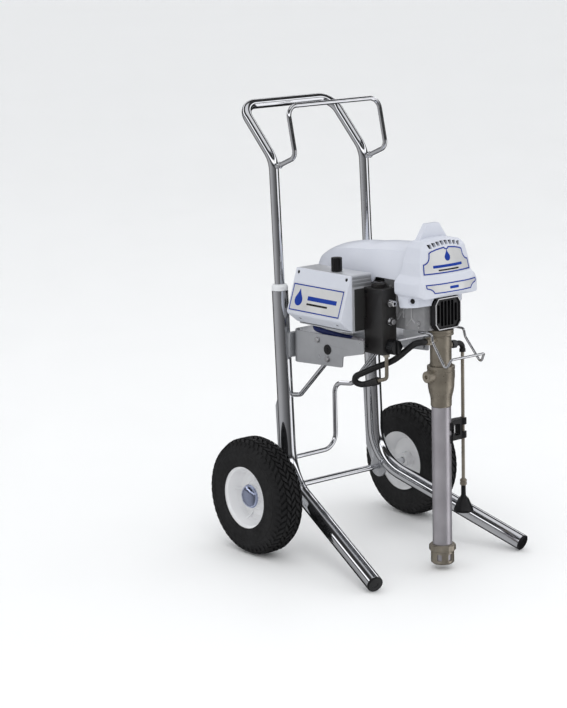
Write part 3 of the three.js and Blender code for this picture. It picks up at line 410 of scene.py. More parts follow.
def piece(name, bm, node, material=None, sharp=26, system=UNIT):
    """A piece that stands in for a CAD node, with the look of the node's slot unless another is given."""
    obj = shaded(name, bm, material or MATERIALS[SLOT_OF[node]], sharp, system)
    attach(obj, BODY_OF[node])
    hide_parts(node)
    return obj


def extra(name, bm, material, slot, sharp=26, system=UNIT):
    """A piece on the cart's body that the CAD model has no node for."""
    obj = shaded(name, bm, material, sharp, system)
    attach(obj, "cart")


# ---------------------------------------------------------------- materials


def feed(tree, socket, value):
    """Sets a socket to a value, or links it to another socket."""
    if isinstance(value, bpy.types.NodeSocket):
        tree.links.new(value, socket)
    else:
        socket.default_value = value


def add(tree, kind, **inputs):
    node = tree.nodes.new("ShaderNode" + kind)
    for name, value in inputs.items():
        feed(tree, node.inputs[name], value)
    return node


def mixed(tree, factor, a, b):
    mix = tree.nodes.new("ShaderNodeMix")
    mix.data_type = "RGBA"
    for name, value in (("Factor", factor), ("A", a), ("B", b)):
        feed(tree, mix.inputs[name], value)
    return mix.outputs["Result"]


def remapped(tree, source, start, end, low=0, high=1):
    scale = add(tree, "MapRange", Value=source)
    for name, value in (("From Min", start), ("From Max", end), ("To Min", low), ("To Max", high)):
        scale.inputs[name].default_value = value
    return scale.outputs["Result"]


def ramp(tree, source, stops):
    """A colour ramp over a source; each stop is a position and a colour."""
    node = add(tree, "ValToRGB", Fac=source)
    elements = node.color_ramp.elements
    elements.remove(elements[-1])
    for index, (position, colour) in enumerate(stops):
        stop = elements.new(position) if index else elements[0]
        stop.position = position
        stop.color = (*colour, 1)
    return node.outputs["Color"]


class Finish:
    """A principled material whose colour, roughness and bump come from noise on the surface."""

    def __init__(self, name, metallic=0.0, coat=0.0, specular=0.5):
        self.material = bpy.data.materials.new(name)
        self.material.use_nodes = True
        self.tree = self.material.node_tree
        self.shader = self.tree.nodes["Principled BSDF"]
        self.set("Metallic", metallic)
        self.set("Coat Weight", coat)
        self.set("Specular IOR Level", specular)
        self.place = add(self.tree, "TexCoord").outputs["Object"]
        self.relief = None

    def set(self, name, value):
        feed(self.tree, self.shader.inputs[name], value)

    def noise(self, scale, detail=3.0, stretch=(1, 1, 1)):
        mapping = add(self.tree, "Mapping", Vector=self.place, Scale=stretch)
        texture = add(self.tree, "TexNoise", Vector=mapping.outputs["Vector"], Scale=scale, Detail=detail)
        return texture.outputs["Fac"]

    def voronoi(self, scale):
        return add(self.tree, "TexVoronoi", Vector=self.place, Scale=scale).outputs["Distance"]

    def edges(self, low=0.52, high=0.6):
        """One along sharp outer edges, nothing elsewhere."""
        return remapped(self.tree, add(self.tree, "NewGeometry").outputs["Pointiness"], low, high)

    def span(self, source, low, high, start=0.3, end=0.7):
        return remapped(self.tree, source, start, end, low, high)

    def colour(self, source, dark, light, start=0.3, end=0.7):
        base = ramp(self.tree, source, ((start, dark), (end, light)))
        self.set("Base Color", base)
        return base

    def over(self, amount, base, top):
        """Lays a plain colour over the base colour by an amount."""
        self.set("Base Color", mixed(self.tree, amount, base, (*top, 1)))

    def rough(self, source, low, high):
        self.set("Roughness", self.span(source, low, high))

    def bump(self, source, depth, strength=0.5):
        """Adds a layer of relief; depth is in metres."""
        layer = add(self.tree, "Bump", Height=source, Distance=depth, Strength=strength)
        if self.relief:
            feed(self.tree, layer.inputs["Normal"], self.relief)
        self.relief = layer.outputs["Normal"]
        self.set("Normal", self.relief)


def metal(name, dark, light, rough, grain, depth, stretch=(1, 1, 1), lighter_edge_colour=None, metallic=1.0):
    f = Finish(name, metallic)
    base = f.colour(f.noise(18, 4), dark, light)
    if lighter_edge_colour:
        # Sharp edges are made lighter, towards this colour.
        f.over(f.edges(), base, lighter_edge_colour)
    f.rough(f.noise(45, 4), *rough)
    f.bump(f.noise(grain, 3, stretch), depth)
    return f.material


def plastic(name, dark, light, rough, grain, depth, specular=0.5, coat=0.0):
    f = Finish(name, specular=specular, coat=coat)
    f.colour(f.noise(14, 4), dark, light)
    f.rough(f.noise(60, 3), *rough)
    f.bump(f.noise(grain, 2), depth)
    return f.material


def tyre_rubber():
    f = Finish("tyre_rubber", specular=0.35)
    base = f.colour(f.noise(35, 5), (0.006, 0.006, 0.0065), (0.013, 0.013, 0.014))
    f.over(f.span(f.noise(9, 4), 0, 0.12, 0.5, 0.75), base, (0.04, 0.038, 0.035))
    f.rough(f.noise(120, 4), 0.52, 0.72)
    f.bump(f.noise(900, 3), 0.0002, 0.5)
    f.bump(f.noise(60, 3), 0.0004, 0.25)
    return f.material


def cast_metal(name, dark, light, lighter_edge_colour, rough=(0.38, 0.55), metallic=1.0):
    """Sand-cast skin: pores and a coarse grain, with sharp edges made lighter."""
    f = Finish(name, metallic=metallic)
    base = f.colour(f.noise(30, 5), dark, light)
    f.over(f.edges(0.53, 0.62), base, lighter_edge_colour)
    f.rough(f.noise(80, 4), *rough)
    f.bump(f.noise(700, 3), 0.00025, 0.6)
    f.bump(f.voronoi(260), 0.00012, 0.4)
    return f.material


def circuit_green():
    f = Finish("circuit_green")
    base = f.colour(f.voronoi(160), (0.01, 0.10, 0.04), (0.03, 0.20, 0.08), 0.2, 0.6)
    f.over(f.span(f.noise(500, 1, (1, 6, 1)), 0, 0.5, 0.55, 0.6), base, (0.45, 0.35, 0.12))
    f.rough(f.noise(90), 0.35, 0.6)
    f.bump(f.voronoi(200), 0.0004, 0.4)
    return f.material


MATERIALS = {"chrome_tube": metal("chrome_plate", (0.74, 0.75, 0.78), (0.80, 0.81, 0.83), (0.05, 0.10), 350,
                                  0.00002), "zinc_sheet": metal("zinc_sheet", (0.36, 0.37, 0.39),
                                                                (0.50, 0.51, 0.53), (0.26, 0.40), 420,
                                                                0.00006, stretch=(1, 0.12, 1),
                                                                lighter_edge_colour=(0.66, 0.67, 0.69), metallic=0.75),
             "white_cover": plastic("white_moulding", (0.60, 0.62, 0.69), (0.63, 0.65, 0.715), (0.30, 0.36),
                                    900, 0.000005), "white_panel": plastic("white_powder_coat",
                                                                           (0.59, 0.61, 0.675), (0.62, 0.64,
                                                                                                 0.70),
                                                                           (0.30, 0.36), 1100, 0.000004),
             "rim_paint": plastic("rim_enamel", (0.76, 0.76, 0.77), (0.84, 0.84, 0.85), (0.12, 0.22), 260,
                                  0.00006, coat=0.3), "tyre_rubber": tyre_rubber(),
             "black_plastic": plastic("black_plastic", (0.004, 0.004, 0.005), (0.009, 0.009, 0.010),
                                      (0.30, 0.42), 1400, 0.00004, specular=0.35),
             "white_bush": plastic("white_nylon", (0.70, 0.71, 0.73), (0.78, 0.79, 0.80), (0.36, 0.5), 900,
                                   0.00004), "black_metal": metal("black_anodised", (0.010, 0.009, 0.009),
                                                                  (0.017, 0.015, 0.015), (0.30, 0.42), 800,
                                                                  0.00004, lighter_edge_colour=(0.05, 0.05, 0.05),
                                                                  metallic=0.2),
             "cast_aluminium": cast_metal("cast_aluminium", (0.30, 0.30, 0.31), (0.44, 0.44, 0.45),
                                          (0.62, 0.62, 0.63), metallic=0.65),
             "pump_bronze": cast_metal("pump_bronze", (0.20, 0.175, 0.14), (0.35, 0.31, 0.25),
                                       (0.58, 0.53, 0.45), (0.26, 0.38), metallic=0.6),
             "satin_steel": metal("satin_steel", (0.42, 0.40, 0.43), (0.52, 0.50, 0.53), (0.28, 0.38), 700,
                                  0.00003, stretch=(1, 1, 0.08), metallic=0.6),
             "blue_hose": plastic("blue_hose", (0.008, 0.015, 0.10), (0.014, 0.028, 0.16), (0.35, 0.5), 900,
                                  0.00008), "black_hose": plastic("black_hose", (0.006, 0.006, 0.0065),
                                                                  (0.013, 0.013, 0.014), (0.30, 0.45), 700,
                                                                  0.00006), "circuit_green": circuit_green(),}
HUB_CHROME = metal("hub_chrome", (0.40, 0.45, 0.62), (0.50, 0.55, 0.72), (0.10, 0.18), 300, 0.00002)
BOX_METAL = metal("box_metal", (0.58, 0.59, 0.62), (0.66, 0.67, 0.70), (0.30, 0.38), 700, 0.00002,
                  metallic=0.5)
LABEL_SILVER = metal("label_silver", (0.62, 0.62, 0.62), (0.72, 0.72, 0.72), (0.34, 0.44), 900, 0.000006,
                     stretch=(0.06, 1, 1), metallic=0.3)
LABEL_BLUE = plastic("label_blue", (0.005, 0.032, 0.26), (0.008, 0.045, 0.32), (0.4, 0.5), 1200, 0.00002,
                     specular=0.2)
BRUSHED_BAND = metal("bright_aluminium", (0.50, 0.50, 0.51), (0.66, 0.66, 0.67), (0.16, 0.26), 900, 0.00004,
                     stretch=(1, 0.05, 1))
# Black for the painted shade behind the vent slots, and for dark print on the labels.
SHADE_AND_PRINT_BLACK = plastic("painted_shade_and_print_black", (0.004, 0.004, 0.004), (0.010, 0.010, 0.010), (0.6, 0.8), 900, 0.00005)

# ---------------------------------------------------------------- cart


def on_upright(side, z):
    return v(side * UPRIGHT_X, CORNER_Y + (z - CORNER_Z) * math.tan(LEAN), z)


def leg_tip(side, inset=0.0):
    tip = v(side * LEG_TIP[0], LEG_TIP[1], LEG_TIP[2])
    return tip + (on_upright(side, CORNER_Z) - tip).normalized() * inset


def frame_route(side):
    corners = [on_upright(side, FRAME_TOP_Z), on_upright(side, CORNER_Z), leg_tip(side, LEG_CAP + 0.3)]
    return bent(corners, 105)


def tube_space(side):
    """The room that a frame tube takes in what is welded to it."""
    return sweep(frame_route(side), FRAME_R + TUBE_FIT, 48, 0.1)


def aimed(bm, origin, direction):
    """Moves a body drawn about +Z so that it starts at origin and points along direction."""
    return moved(bm, Matrix.Translation(origin) @ direction.to_track_quat("Z", "Y").to_matrix().to_4x4())


def build_frame_tubes():
    for side, word in SIDES:
        piece(f"upright_tube_{word}", sweep(frame_route(side), FRAME_R, 48, 0.6), f"frame_tube_{word}",
              system=CART)
        plug = lathe([(0, 0), (15.5, 0), (17.5, 1.6), (17.5, LEG_CAP), (0, LEG_CAP)], 48, 0.5)
        dimple = lathe([(0, -1), (7, -1), (6.2, 0.9), (0, 0.9)], 32, 0.2)
        inward = leg_tip(side, 1) - leg_tip(side)
        piece(f"leg_plug_{word}", aimed(cut(plug, dimple), leg_tip(side), inward), f"leg_cap_{word}",
              system=CART)
        bush = lathe([(11.3, -45), (14.8, -45), (14.8, 0.3), (17.5, 0.3), (17.5, 9), (14.5, 14), (11.3, 14)],
                     48, 0.9, closed=True)
        moved(bush, Matrix.Rotation(-LEAN, 4, "X"))
        piece(f"handle_bush_{word}", moved(bush, Matrix.Translation(on_upright(side, FRAME_TOP_Z))),
              f"collar_{word}", system=CART)


def build_gussets():
    for side, word in SIDES:
        lobe = [(24 * math.cos(math.radians(d)), WHEEL_R + 24 * math.sin(math.radians(d)))
                for d in range(20, -201, -8)]
        outline = [(44, 315), (50, 300), (40, 170), *lobe, (-10, 150), (20, 190), (28, 310)]
        plate = prism(outline, side * UPRIGHT_X - 2.5, side * UPRIGHT_X + 2.5, "X")
        hole = rod("X", 0, WHEEL_R, -300, 300, 6.85)
        shape = cut(plate, hole, tube_space(side))
        keep_largest(shape)
        piece(f"axle_plate_{word}", bevelled(shape, 0.5), f"gusset_{word}", system=CART)


def keep_largest(bm):
    """Deletes every loose part but the one with the largest surface."""
    left, groups = set(bm.faces), []
    while left:
        stack, group = [left.pop()], []
        while stack:
            face = stack.pop()
            group.append(face)
            for edge in face.edges:
                for other in edge.link_faces:
                    if other in left:
                        left.remove(other)
                        stack.append(other)
        groups.append(group)
    groups.sort(key=lambda g: sum(f.calc_area() for f in g))
    extra = [face for group in groups[:-1] for face in group]
    bmesh.ops.delete(bm, geom=extra, context="FACES")


def build_handle():
    corners = [[on_upright(side, 425), on_upright(side, 835.7), v(side * UPRIGHT_X, 163.4, 943.3)]
               for side in (-1, 1)]
    route = bent([*corners[0], *reversed(corners[1])], [60, 38, 38, 60])
    piece("push_handle", sweep(route, HANDLE_R, 40, 0.6), "handle_tube", system=CART)
    rack = [[v(side * UPRIGHT_X, 42, 823), v(side * UPRIGHT_X, -20, 849), v(side * UPRIGHT_X, 6, 954)]
            for side in (-1, 1)]
    wire = sweep(bent([*rack[0], *reversed(rack[1])], [18, 24, 24, 18]), ROD_R, 32, 0.4)
    welds = []
    for side in (-1, 1):
        foot, neck = rack[0 if side < 0 else 1][0], rack[0 if side < 0 else 1][1]
        along = (neck - foot).normalized()
        bead = lathe([(0, 0), (6.6, 0), (7.4, 2), (6.4, 4.5), (5.0, 6), (0, 6)], 32, 0.8)
        welds.append(aimed(bead, foot + along * 8.5, along))
    uprights = [bar(on_upright(side, 780), on_upright(side, 846), HANDLE_R + TUBE_FIT, 40)
                for side in (-1, 1)]
    piece("hose_hanger", cut(fused(wire, *welds), *uprights), "hose_rack", system=CART)


def build_support_rod():
    corners = [v(-UPRIGHT_X + 10, 10, 188), v(12, 14, 188), v(12, 18, 334), v(12, -42, 343), v(12, -150, 458),
               v(-112, -139, 458), v(-112, -14, 333), v(-UPRIGHT_X + 5, 14, 330)]
    wire = sweep(bent(corners, [34, 26, 26, 16, 16, 14]), ROD_R, 28, 0.4)
    bead = lathe([(0, 0), (8, 0), (8.4, 1.5), (6.6, 4.5), (5, 6.5), (0, 6.5)], 28, 0.8)
    shape = cut(fused(wire, aimed(bead, v(-112.5, 10, 188), v(1, 0.03, 0))), tube_space(-1))
    keep_largest(shape)
    piece("rear_support_rod", shape, "support_rod", system=CART)


BRACKET_BOLTS = ((-87, 468), (-119, 431))


def build_bracket():
    outer_x, sheet, web_y, corner_r = 125, 3, 5, 28
    half = [(outer_x, -240)]
    inner = [(outer_x - sheet, -240)]
    for degrees in range(0, 91, 9):
        c, s = math.cos(math.radians(degrees)), math.sin(math.radians(degrees))
        half.append((outer_x - corner_r + corner_r * c, web_y - corner_r + corner_r * s))
        inner.append((outer_x - corner_r + (corner_r - sheet) * c, web_y - corner_r + (corner_r - sheet) * s))
    other = [(-x, y) for x, y in reversed(half)]
    inside = [(-x, y) for x, y in inner]
    channel = prism([*half, *other, *inside, *reversed(inner)], 390, 510)
    outline = [(12, 476), (-232, 489), (-232, 461), (-172, 446), (-167, 444), (-165, 421), (-20, 408.5),
               (12, 407)]
    shape = boolean(channel, "INTERSECT", prism(rounded(outline, 4), -150, 150, "X"))
    tabs = [block((min(s * 128, s * 92), web_y - sheet, 415), (max(s * 128, s * 92), web_y + 9, 468))
            for s in (-1, 1)]
    shape = fused(shape, *tabs)
    holes = [rod("X", GROMMET_Y, GROMMET_Z, -140, -110, 8.5, 40)]
    holes += [rod("X", y, z, -140, 140, 3.6, 24) for y, z in BRACKET_BOLTS]
    holes += [tube_space(side) for side in (-1, 1)]
    piece("folded_bracket", bevelled(cut(shape, *holes), 0.6), "mounting_bracket", system=CART)
    for (y, z), word in zip(BRACKET_BOLTS, ("upper", "lower")):
        flange = rod("X", y, z, -125.2, -126.6, 7)
        head = nut("X", y, z, -126.4, -130, 5.6)
        shank = rod("X", y, z, -125.4, -119, 3.1, 24)
        piece(f"bolt_{word}", joined(flange, head, shank), f"bracket_bolt_{word}", BRUSHED_BAND, system=CART)
    washer = lathe([(4, -3), (8.3, -3), (8.3, 0.2), (11, 0.2), (10.4, 2.2), (4, 2.2)], 48, 0.6, closed=True)
    grommet = joined(aimed(washer, v(-125, GROMMET_Y, GROMMET_Z), v(-1, 0, 0)),
                     nut("X", GROMMET_Y, GROMMET_Z, -124, -128.4, 4.4))
    extra("bracket_grommet", grommet, MATERIALS["black_plastic"], "black_plastic", system=CART)


# ---------------------------------------------------------------- wheels

LUG_COUNT = 50
LUG_ROWS = (-23.2, -11.6, 0.0, 11.6, 23.2)


def on_wheel(bm, side):
    turn = Matrix.Rotation(side * math.pi / 2, 4, "Y")
    return moved(bm, Matrix.Translation((side * WHEEL_MID_X, 0, WHEEL_R)) @ turn)


def crown(offset):
    """The tyre's outer radius at a distance from its middle."""
    reach = abs(offset)
    knots = ((0, 126.9), (16, 126.7), (24, 122.9), (30, 119.4), (32.5, 112), (34.3, 104))
    for (o0, r0), (o1, r1) in zip(knots, knots[1:]):
        if reach <= o1:
            return r0 + (r1 - r0) * (reach - o0) / (o1 - o0)
    return knots[-1][1]


def lug(middle, width, angle, span, slant, sink, bm):
    """One raised tread block, a slanted box on the tyre's crown."""
    rows = []
    for level, grow in ((-sink, 1.12), (0.0, 1.0)):
        ring = []
        for u, w in ((-1, -1), (1, -1), (1, 1), (-1, 1)):
            offset = middle + w * width / 2 * grow
            turn = angle + u * span / 2 * grow + slant * w
            radius = crown(max(min(offset, 34.2), -34.2)) + level
            ring.append(bm.verts.new((radius * math.cos(turn), radius * math.sin(turn), offset)))
        rows.append(ring)
    low, high = rows
    bm.faces.new(high)
    for k in range(4):
        bm.faces.new((low[k], low[(k + 1) % 4], high[(k + 1) % 4], high[k]))
    bm.faces.new(reversed(low))


def tyre_mesh():
    groove = 4.2
    half = [(71, 31), (71, 33), (66.8, 33), (67.2, 34.1), (73, 34.3), (77, 33.6), (88, 33.9), (98, 34.4),
            (99.5, 33.8), (101, 34.4), (104, 34.3), (110, 32.2), (115.5, 28.5), (119, 24),
            (126.9 - groove, 16), (126.9 - groove, 0)]
    profile = [*((r, -o) for r, o in half), *((r, o) for r, o in reversed(half[:-1]))]
    body = lathe(profile, 160, 0.9, closed=True)
    blocks = bmesh.new()
    pitch = 2 * math.pi / LUG_COUNT
    for index in range(LUG_COUNT):
        for row, middle in enumerate(LUG_ROWS):
            way = 1 if row % 2 else -1
            lug(middle, 9.6, index * pitch + row * pitch / 2, pitch * 0.60, way * pitch * 0.32, groove,
                blocks)
        for edge in (-1, 1):
            lug(edge * 31.4, 4.6, (index + 0.25 * edge) * pitch, pitch * 0.55, edge * pitch * 0.10, 3.2,
                blocks)
    bmesh.ops.recalc_face_normals(blocks, faces=blocks.faces)
    return joined(body, blocks)


def rim_mesh():
    profile = [(70.2, -32), (70.2, 32), (68.6, 32.6), (66.6, 31.5), (62.5, 27), (57.5, 8), (54, 0),
               (46, -3.4), (34, -2), (27, 3), (24, 8), (24, 14.6), (6.95, 14.6), (6.95, -27), (16, -27),
               (18, -9), (47, -9), (62, -27), (67, -32)]
    dish = lathe(profile, 96, 1.6, closed=True)
    ribs = []
    for index in range(5):
        outline = [(22, 4), (30, 1.8), (42, -1.6), (52, 2.2), (58.5, 13), (61, 12), (54, -4), (22, -4)]
        rib = bevelled(prism(rounded(outline, 2), -2.6, 2.6, "Y"), 1.6, 3)
        ribs.append(moved(rib, Matrix.Rotation(2 * math.pi * (index + 0.2) / 5, 4, "Z")))
    valve = moved(rod("Z", 0, 0, 0, 14, 2.6, 20, 2.2), Matrix.Translation((50, -12, -3)))
    return joined(dish, *ribs, valve)


def build_wheels():
    for side, word in SIDES:
        piece(f"block_tread_tyre_{word}", on_wheel(tyre_mesh(), side), f"tyre_{word}", sharp=30, system=CART)
        piece(f"dished_rim_{word}", on_wheel(rim_mesh(), side), f"rim_{word}", system=CART)
        dome = [(0, 24), (6.65, 24), (6.65, 15.3), (25.2, 15.3), (26, 16.2), (25.6, 17.6), (24.4, 18.2)]
        dome += [(24.4 * math.cos(a), 18.2 + 12.3 * math.sin(a))
                 for a in (math.radians(d) for d in range(9, 90, 9))]
        dome.append((0, 30.5))
        piece(f"domed_hubcap_{word}", on_wheel(lathe(dome, 64, 0.3), side), f"hubcap_{word}", HUB_CHROME,
              system=CART)
    axle = rod("X", 0, WHEEL_R, -247, 247, 6.35, fillet=1.2)
    piece("wheel_axle", axle, "axle_rod", system=CART)


# ---------------------------------------------------------------- motor and drive


def build_motor():
    profile = [(7, -45), (16, -45), (16, -50), (49, -50), (52, -54), (52, -96), (51, -97), (51, -99),
               (52, -100), (52, -210), (50.5, -211), (50.5, -216), (49, -216), (49, -54), (7, -54)]
    can = lathe(profile, 72, 0.6, closed=True)
    moved(can, Matrix.Translation((0, 0, MOTOR_Z)) @ Matrix.Rotation(-math.pi / 2, 4, "X"))
    piece("motor_casing", can, "motor_can")
    reach, sheet, top = 121.5, 3, 469
    plates = [block((-reach, -205, top - sheet), (reach, -60, top))]
    for side in (-1, 1):
        x = reach - sheet if side > 0 else -reach
        plates.append(block((x, -150, 424), (x + sheet, -62, 480)))
    for y in (-180, -100):
        plates.append(block((-34, y, top - 1), (34, y + 5, 565)))
    tray = fused(plates[0], *plates[1:])
    holes = [rod("Y", 0, MOTOR_Z, 10, -230, 52.3, 72)]
    to_unit = UNIT.inverted() @ CART
    for y, z in BRACKET_BOLTS:
        middle = to_unit @ v(0, y, z)
        holes.append(rod("X", middle.y, middle.z, -140, 140, 4, 24))
    piece("folded_motor_tray", bevelled(cut(tray, *holes), 0.5), "motor_tray")


def housing_plan(inset):
    right = [(59, -222), (59, -288), (49, -334), (38, -338.6)]
    half = [(x - inset, y - inset if y == -222 else y + inset * 0.4) for x, y in right]
    return [*half, *((-x, y) for x, y in reversed(half))]


def build_housing():
    """Cast gear housing: it narrows to the front and the foot, and is open in front of the rod."""
    body = bevelled(prism(rounded(housing_plan(0), 6, 5), 510, 640), 2.5, 3)
    window = block((-33, -345, 515), (33, -300, 632))
    cuts = [prism(rounded(housing_plan(7), 4), 515, 632), bevelled(window, 3, 3)]
    cuts += [rod("Y", side * 74, 500, -202, -380, 26, 4, fillet=0) for side in (-1, 1)]
    cuts.append(rod("Z", 0, PUMP_Y, 500, 530, 9.4))
    extras = [rod("Y", 0, MOTOR_Z, -223, -216.3, 48, 64)]
    for side in (-1, 1):
        for y in (-286, -266, -246):
            low, high = sorted((side * 57, side * 61.8))
            extras.append(bevelled(block((low, y, 534), (high, y + 3.6, 598)), 1.4, 3))
        rise = [(-288, 556), (-284, 556), (-262, 532), (-262, 527), (-266, 527)]
        low, high = sorted((side * 57, side * 61))
        extras.append(bevelled(prism(rise, low, high, "X"), 1.2, 2))
        way = v(side * 34, -7, 0).normalized()
        boss = v(side * 45, -318, 525)
        extras.append(bar(boss, boss + way * 11, 6.4, 36, 5.8, 1.2))
        extras.append(hexagon(boss + way * 10.5, boss + way * 13.2, 4.0))
        rib = [(54.2, -302), (57.6, -303), (56.4, -307), (53.0, -306)]
        extras.append(bevelled(prism([(side * x, y) for x, y in rib], 531, 600), 0.9, 2))
        for x, y, z, knee_x in ((57.0, -291, 518, 55.4), (51.0, -322, 516, 55.0)):
            extras.append(sweep([v(side * knee_x, -304, 534), v(side * x, y, z)], 2.4, 12, 0.6))
    piece("cast_gear_housing", joined(cut(body, *cuts), *extras), "drive_housing")


def build_guard():
    """Slotted finger guard with a bright bead round its edge."""
    outline = [(-37, 524), (-27, 511), (27, 511), (37, 524), (37, 566), (28, 579), (-28, 579), (-37, 566)]
    plate = prism(rounded(outline, 3), -354.2, -339.8, "Y")
    recess = [(-32.5, 526), (-24.8, 515.6), (24.8, 515.6), (32.5, 526), (32.5, 564), (25.8, 574.4),
              (-25.8, 574.4), (-32.5, 564)]
    tray = prism(rounded(recess, 2), -360, -351.4, "Y")
    slots = []
    for x in (-24, -14.4, -4.8, 4.8, 14.4, 24):
        top = 571 if abs(x) < 20 else 564
        low = 1090 - top
        hole = rounded([(x - 3.1, low), (x + 3.1, low), (x + 3.1, top), (x - 3.1, top)], 2.4)
        slots.append(prism(hole, -362, -330, "Y"))
    piece("finger_guard", bevelled(cut(plate, tray, *slots), 0.7), "front_guard")
    edges = resampled(rounded(outline, 5), 3)
    rims = [(shrunk(edges, 1.3), -353.9), (shrunk(edges, 1.3), -355.0), (shrunk(edges, 3.2), -355.0),
            (shrunk(edges, 3.2), -353.9)]
    ring = skin([[v(p.x, y, p.y) for p in rim] for rim, y in rims], capped=False, closed=True)
    extra("guard_edge_bead", ring, BRUSHED_BAND, "satin_steel")


def build_drive_details():
    web = [(-7, 534), (7, 534), (7, 556), (-7, 556)]
    low, high = PUMP_Y - 4.7, PUMP_Y + 4.3
    eye = rod("Y", 0, ROD_EYE_Z, low, high, 14, 48)
    shank = bevelled(prism(web, low, high, "Y"), 1.2, 2)
    hole = rod("Y", 0, ROD_EYE_Z, low - 5, high + 5, 6)
    piece("forged_connecting_rod", cut(fused(eye, shank), hole), "connecting_rod")
    piece("chromed_piston_rod", rod("Z", 0, PUMP_Y, 372, 533.7, 8, 48), "piston_rod")


# ---------------------------------------------------------------- covers


def mirrored(right):
    return [*right, *((-x, z) for x, z in reversed(right[:-1] if right[-1][0] == 0 else right))]


def skirt_plan(inset):
    right = [(74, -270), (74, -284), (70, -304), (62, -330), (46, -345), (0, -350)]
    return mirrored([(max(x - inset, 0), y + (inset * 0.8 if y < -270 else 10 * inset)) for x, y in right])


def cover_solid(inset):
    """The moulded cover's closed shape: where its side, front and plan outlines meet."""
    face = [(-366, 583), (-373, 591), (-373.5, 600), (-371, 612), (-361, 625), (-357, 640), (-353, 660),
            (-349, 680), (-342, 693), (-328, 700), (-298, 700)]
    rear = [(-296, 690), (-290, 640), (-278, 613), (-278, 588), (-281, 583)]
    skirt = [(-283, 555), (-325, 560), (-349, 565), (-350, 582)]
    if inset:
        skirt = [(-263, 540), (-346, 540), (-347, 582 + inset)]
    side = [(y + inset, z + inset * (-1 if z > 690 else 0.6)) for y, z in face]
    side += [(y + (20 if inset else 0), z) for y, z in rear] + skirt
    right = [(70, 540 if inset else 555), (74, 583), (78, 586), (80, 592), (80, 610), (76, 619), (70, 627),
             (68.5, 652), (60, 684), (48, 694), (24, 699), (0, 700)]
    front = [(max(x - inset, 0), z - inset if inset and z > 680 else z) for x, z in right]
    plan = [(80, -270), (80, -338), (79, -352), (75, -362), (50, -368.5), (25, -372.5), (0, -373.5)]
    plan = [(max(x - inset, 0), y + (inset if y < -300 else 10 * inset)) for x, y in plan]
    soft = 3
    base = prism(rounded(side, soft, 5), -100, 100, "X")
    hull = boolean(base, "INTERSECT", prism(rounded(mirrored(front), soft, 5), -400, -200, "Y"),
                   prism(rounded(mirrored(plan), soft, 5), 500, 800))
    round_skirt = cut(block((-120, -400, 500), (120, -200, 583 + inset)),
                      prism(rounded(skirt_plan(inset), soft, 5), 495, 600))
    return cut(hull, round_skirt)


def face_bow(x):
    """How far the cover's upper face curves back at a distance from its middle."""
    return 9.5 * (x / 66) ** 2


def bow_face(bm):
    """Curves the upper face back towards its sides."""
    for vert in bm.verts:
        forward = min(max((-300 - vert.co.y) / 45, 0), 1)
        upper = min(max((vert.co.z - 606) / 26, 0), 1)
        vert.co.y += face_bow(vert.co.x) * forward * upper * upper * (3 - 2 * upper)
    return bm


def vent_arch(x):
    return 690.8 - 0.0030 * x * x


def vent_slots():
    """Tapered slots that fan out along the arch above the label."""
    slots = []
    for step in range(-4, 4):
        x = (step + 0.5) * 11.4
        z = vent_arch(x)
        lean = 0.012 * x
        outline = [(x - 4.9 + lean, z + 3.6), (x + 4.9 + lean, z + 3.6), (x + 3.6 - lean * 3, z - 5.0),
                   (x - 3.6 - lean * 3, z - 5.0)]
        slots.append(prism(rounded(outline, 0.7), -380, -324, "Y"))
    return slots


def vent_painted_shade_strip():
    """Painted shade: a dark strip behind the slots that stands in for the shade inside the cover, bent like the
    face in front of it.
    """
    stations = range(-44, 45, 4)
    strip = prism([(x, vent_arch(x) - 6.5) for x in stations]
                  + [(x, vent_arch(x) + 3.8) for x in reversed(stations)], -337.5, -335, "Y")
    for vert in strip.verts:
        vert.co.y += face_bow(vert.co.x)
    return strip


def build_cover():
    outer = bow_face(remeshed(cover_solid(0), 1.5, 3))
    scoop = bevelled(prism([(-43, 690), (43, 690), (17, 727), (-17, 727)], -312, -298, "Y"), 1.8, 3)
    pocket = prism([(-39, 680), (39, 680), (14.5, 723.5), (-14.5, 723.5)], -309, -279, "Y")
    outer = fused(outer, scoop)
    screws, dishes, heads = [], [], []
    for side in (-1, 1):
        way = v(side * 26, -8, 0).normalized()
        spot = v(side * 66.6, -317, 573)
        screws.append(bar(spot + way * 20, spot - way * 12, 5.6, 32, fillet=0))
        dishes.append(aimed(lathe([(0, -4), (12, -4), (7.0, 3.0), (0, 3.0)], 40, 0), spot, -way))
        head = lathe([(0, 0), (5.2, 0), (5.2, 2.4), (4.2, 3.0), (0, 3.0)], 32, 0.3)
        head = cut(head, block((-3.4, -0.6, 2), (3.4, 0.6, 4)), block((-0.6, -3.4, 2), (0.6, 3.4, 4)))
        heads.append(aimed(head, spot - way * 7.6, way))
    opening = prism(rounded([(-38.5, 540), (38.5, 540), (38.5, 568), (30, 581), (-30, 581), (-38.5, 568)], 2),
                    -400, -325, "Y")
    inside = bow_face(cover_solid(MOULDING_WALL))
    shell = cut(outer, inside, pocket, opening, *vent_slots(), *screws, *dishes)
    piece("moulded_front_cover", shell, "front_cover")
    # Painted shade: a dark strip behind the vent slots.
    extra("vent_painted_shade_strip", vent_painted_shade_strip(), SHADE_AND_PRINT_BLACK, "black_plastic")
    extra("cover_screws", joined(*heads), MATERIALS["black_metal"], "black_metal")


SHROUD_FRONT_Y, SHROUD_LENGTH, SHROUD_WIDEST_Y, SHROUD_BASE_Z = -300, 344.7, -139, 590
SHROUD_RIDGE = ((-300, 686.5), (-186, 679), (-149, 674), (-69, 671.3), (45, 671.3))


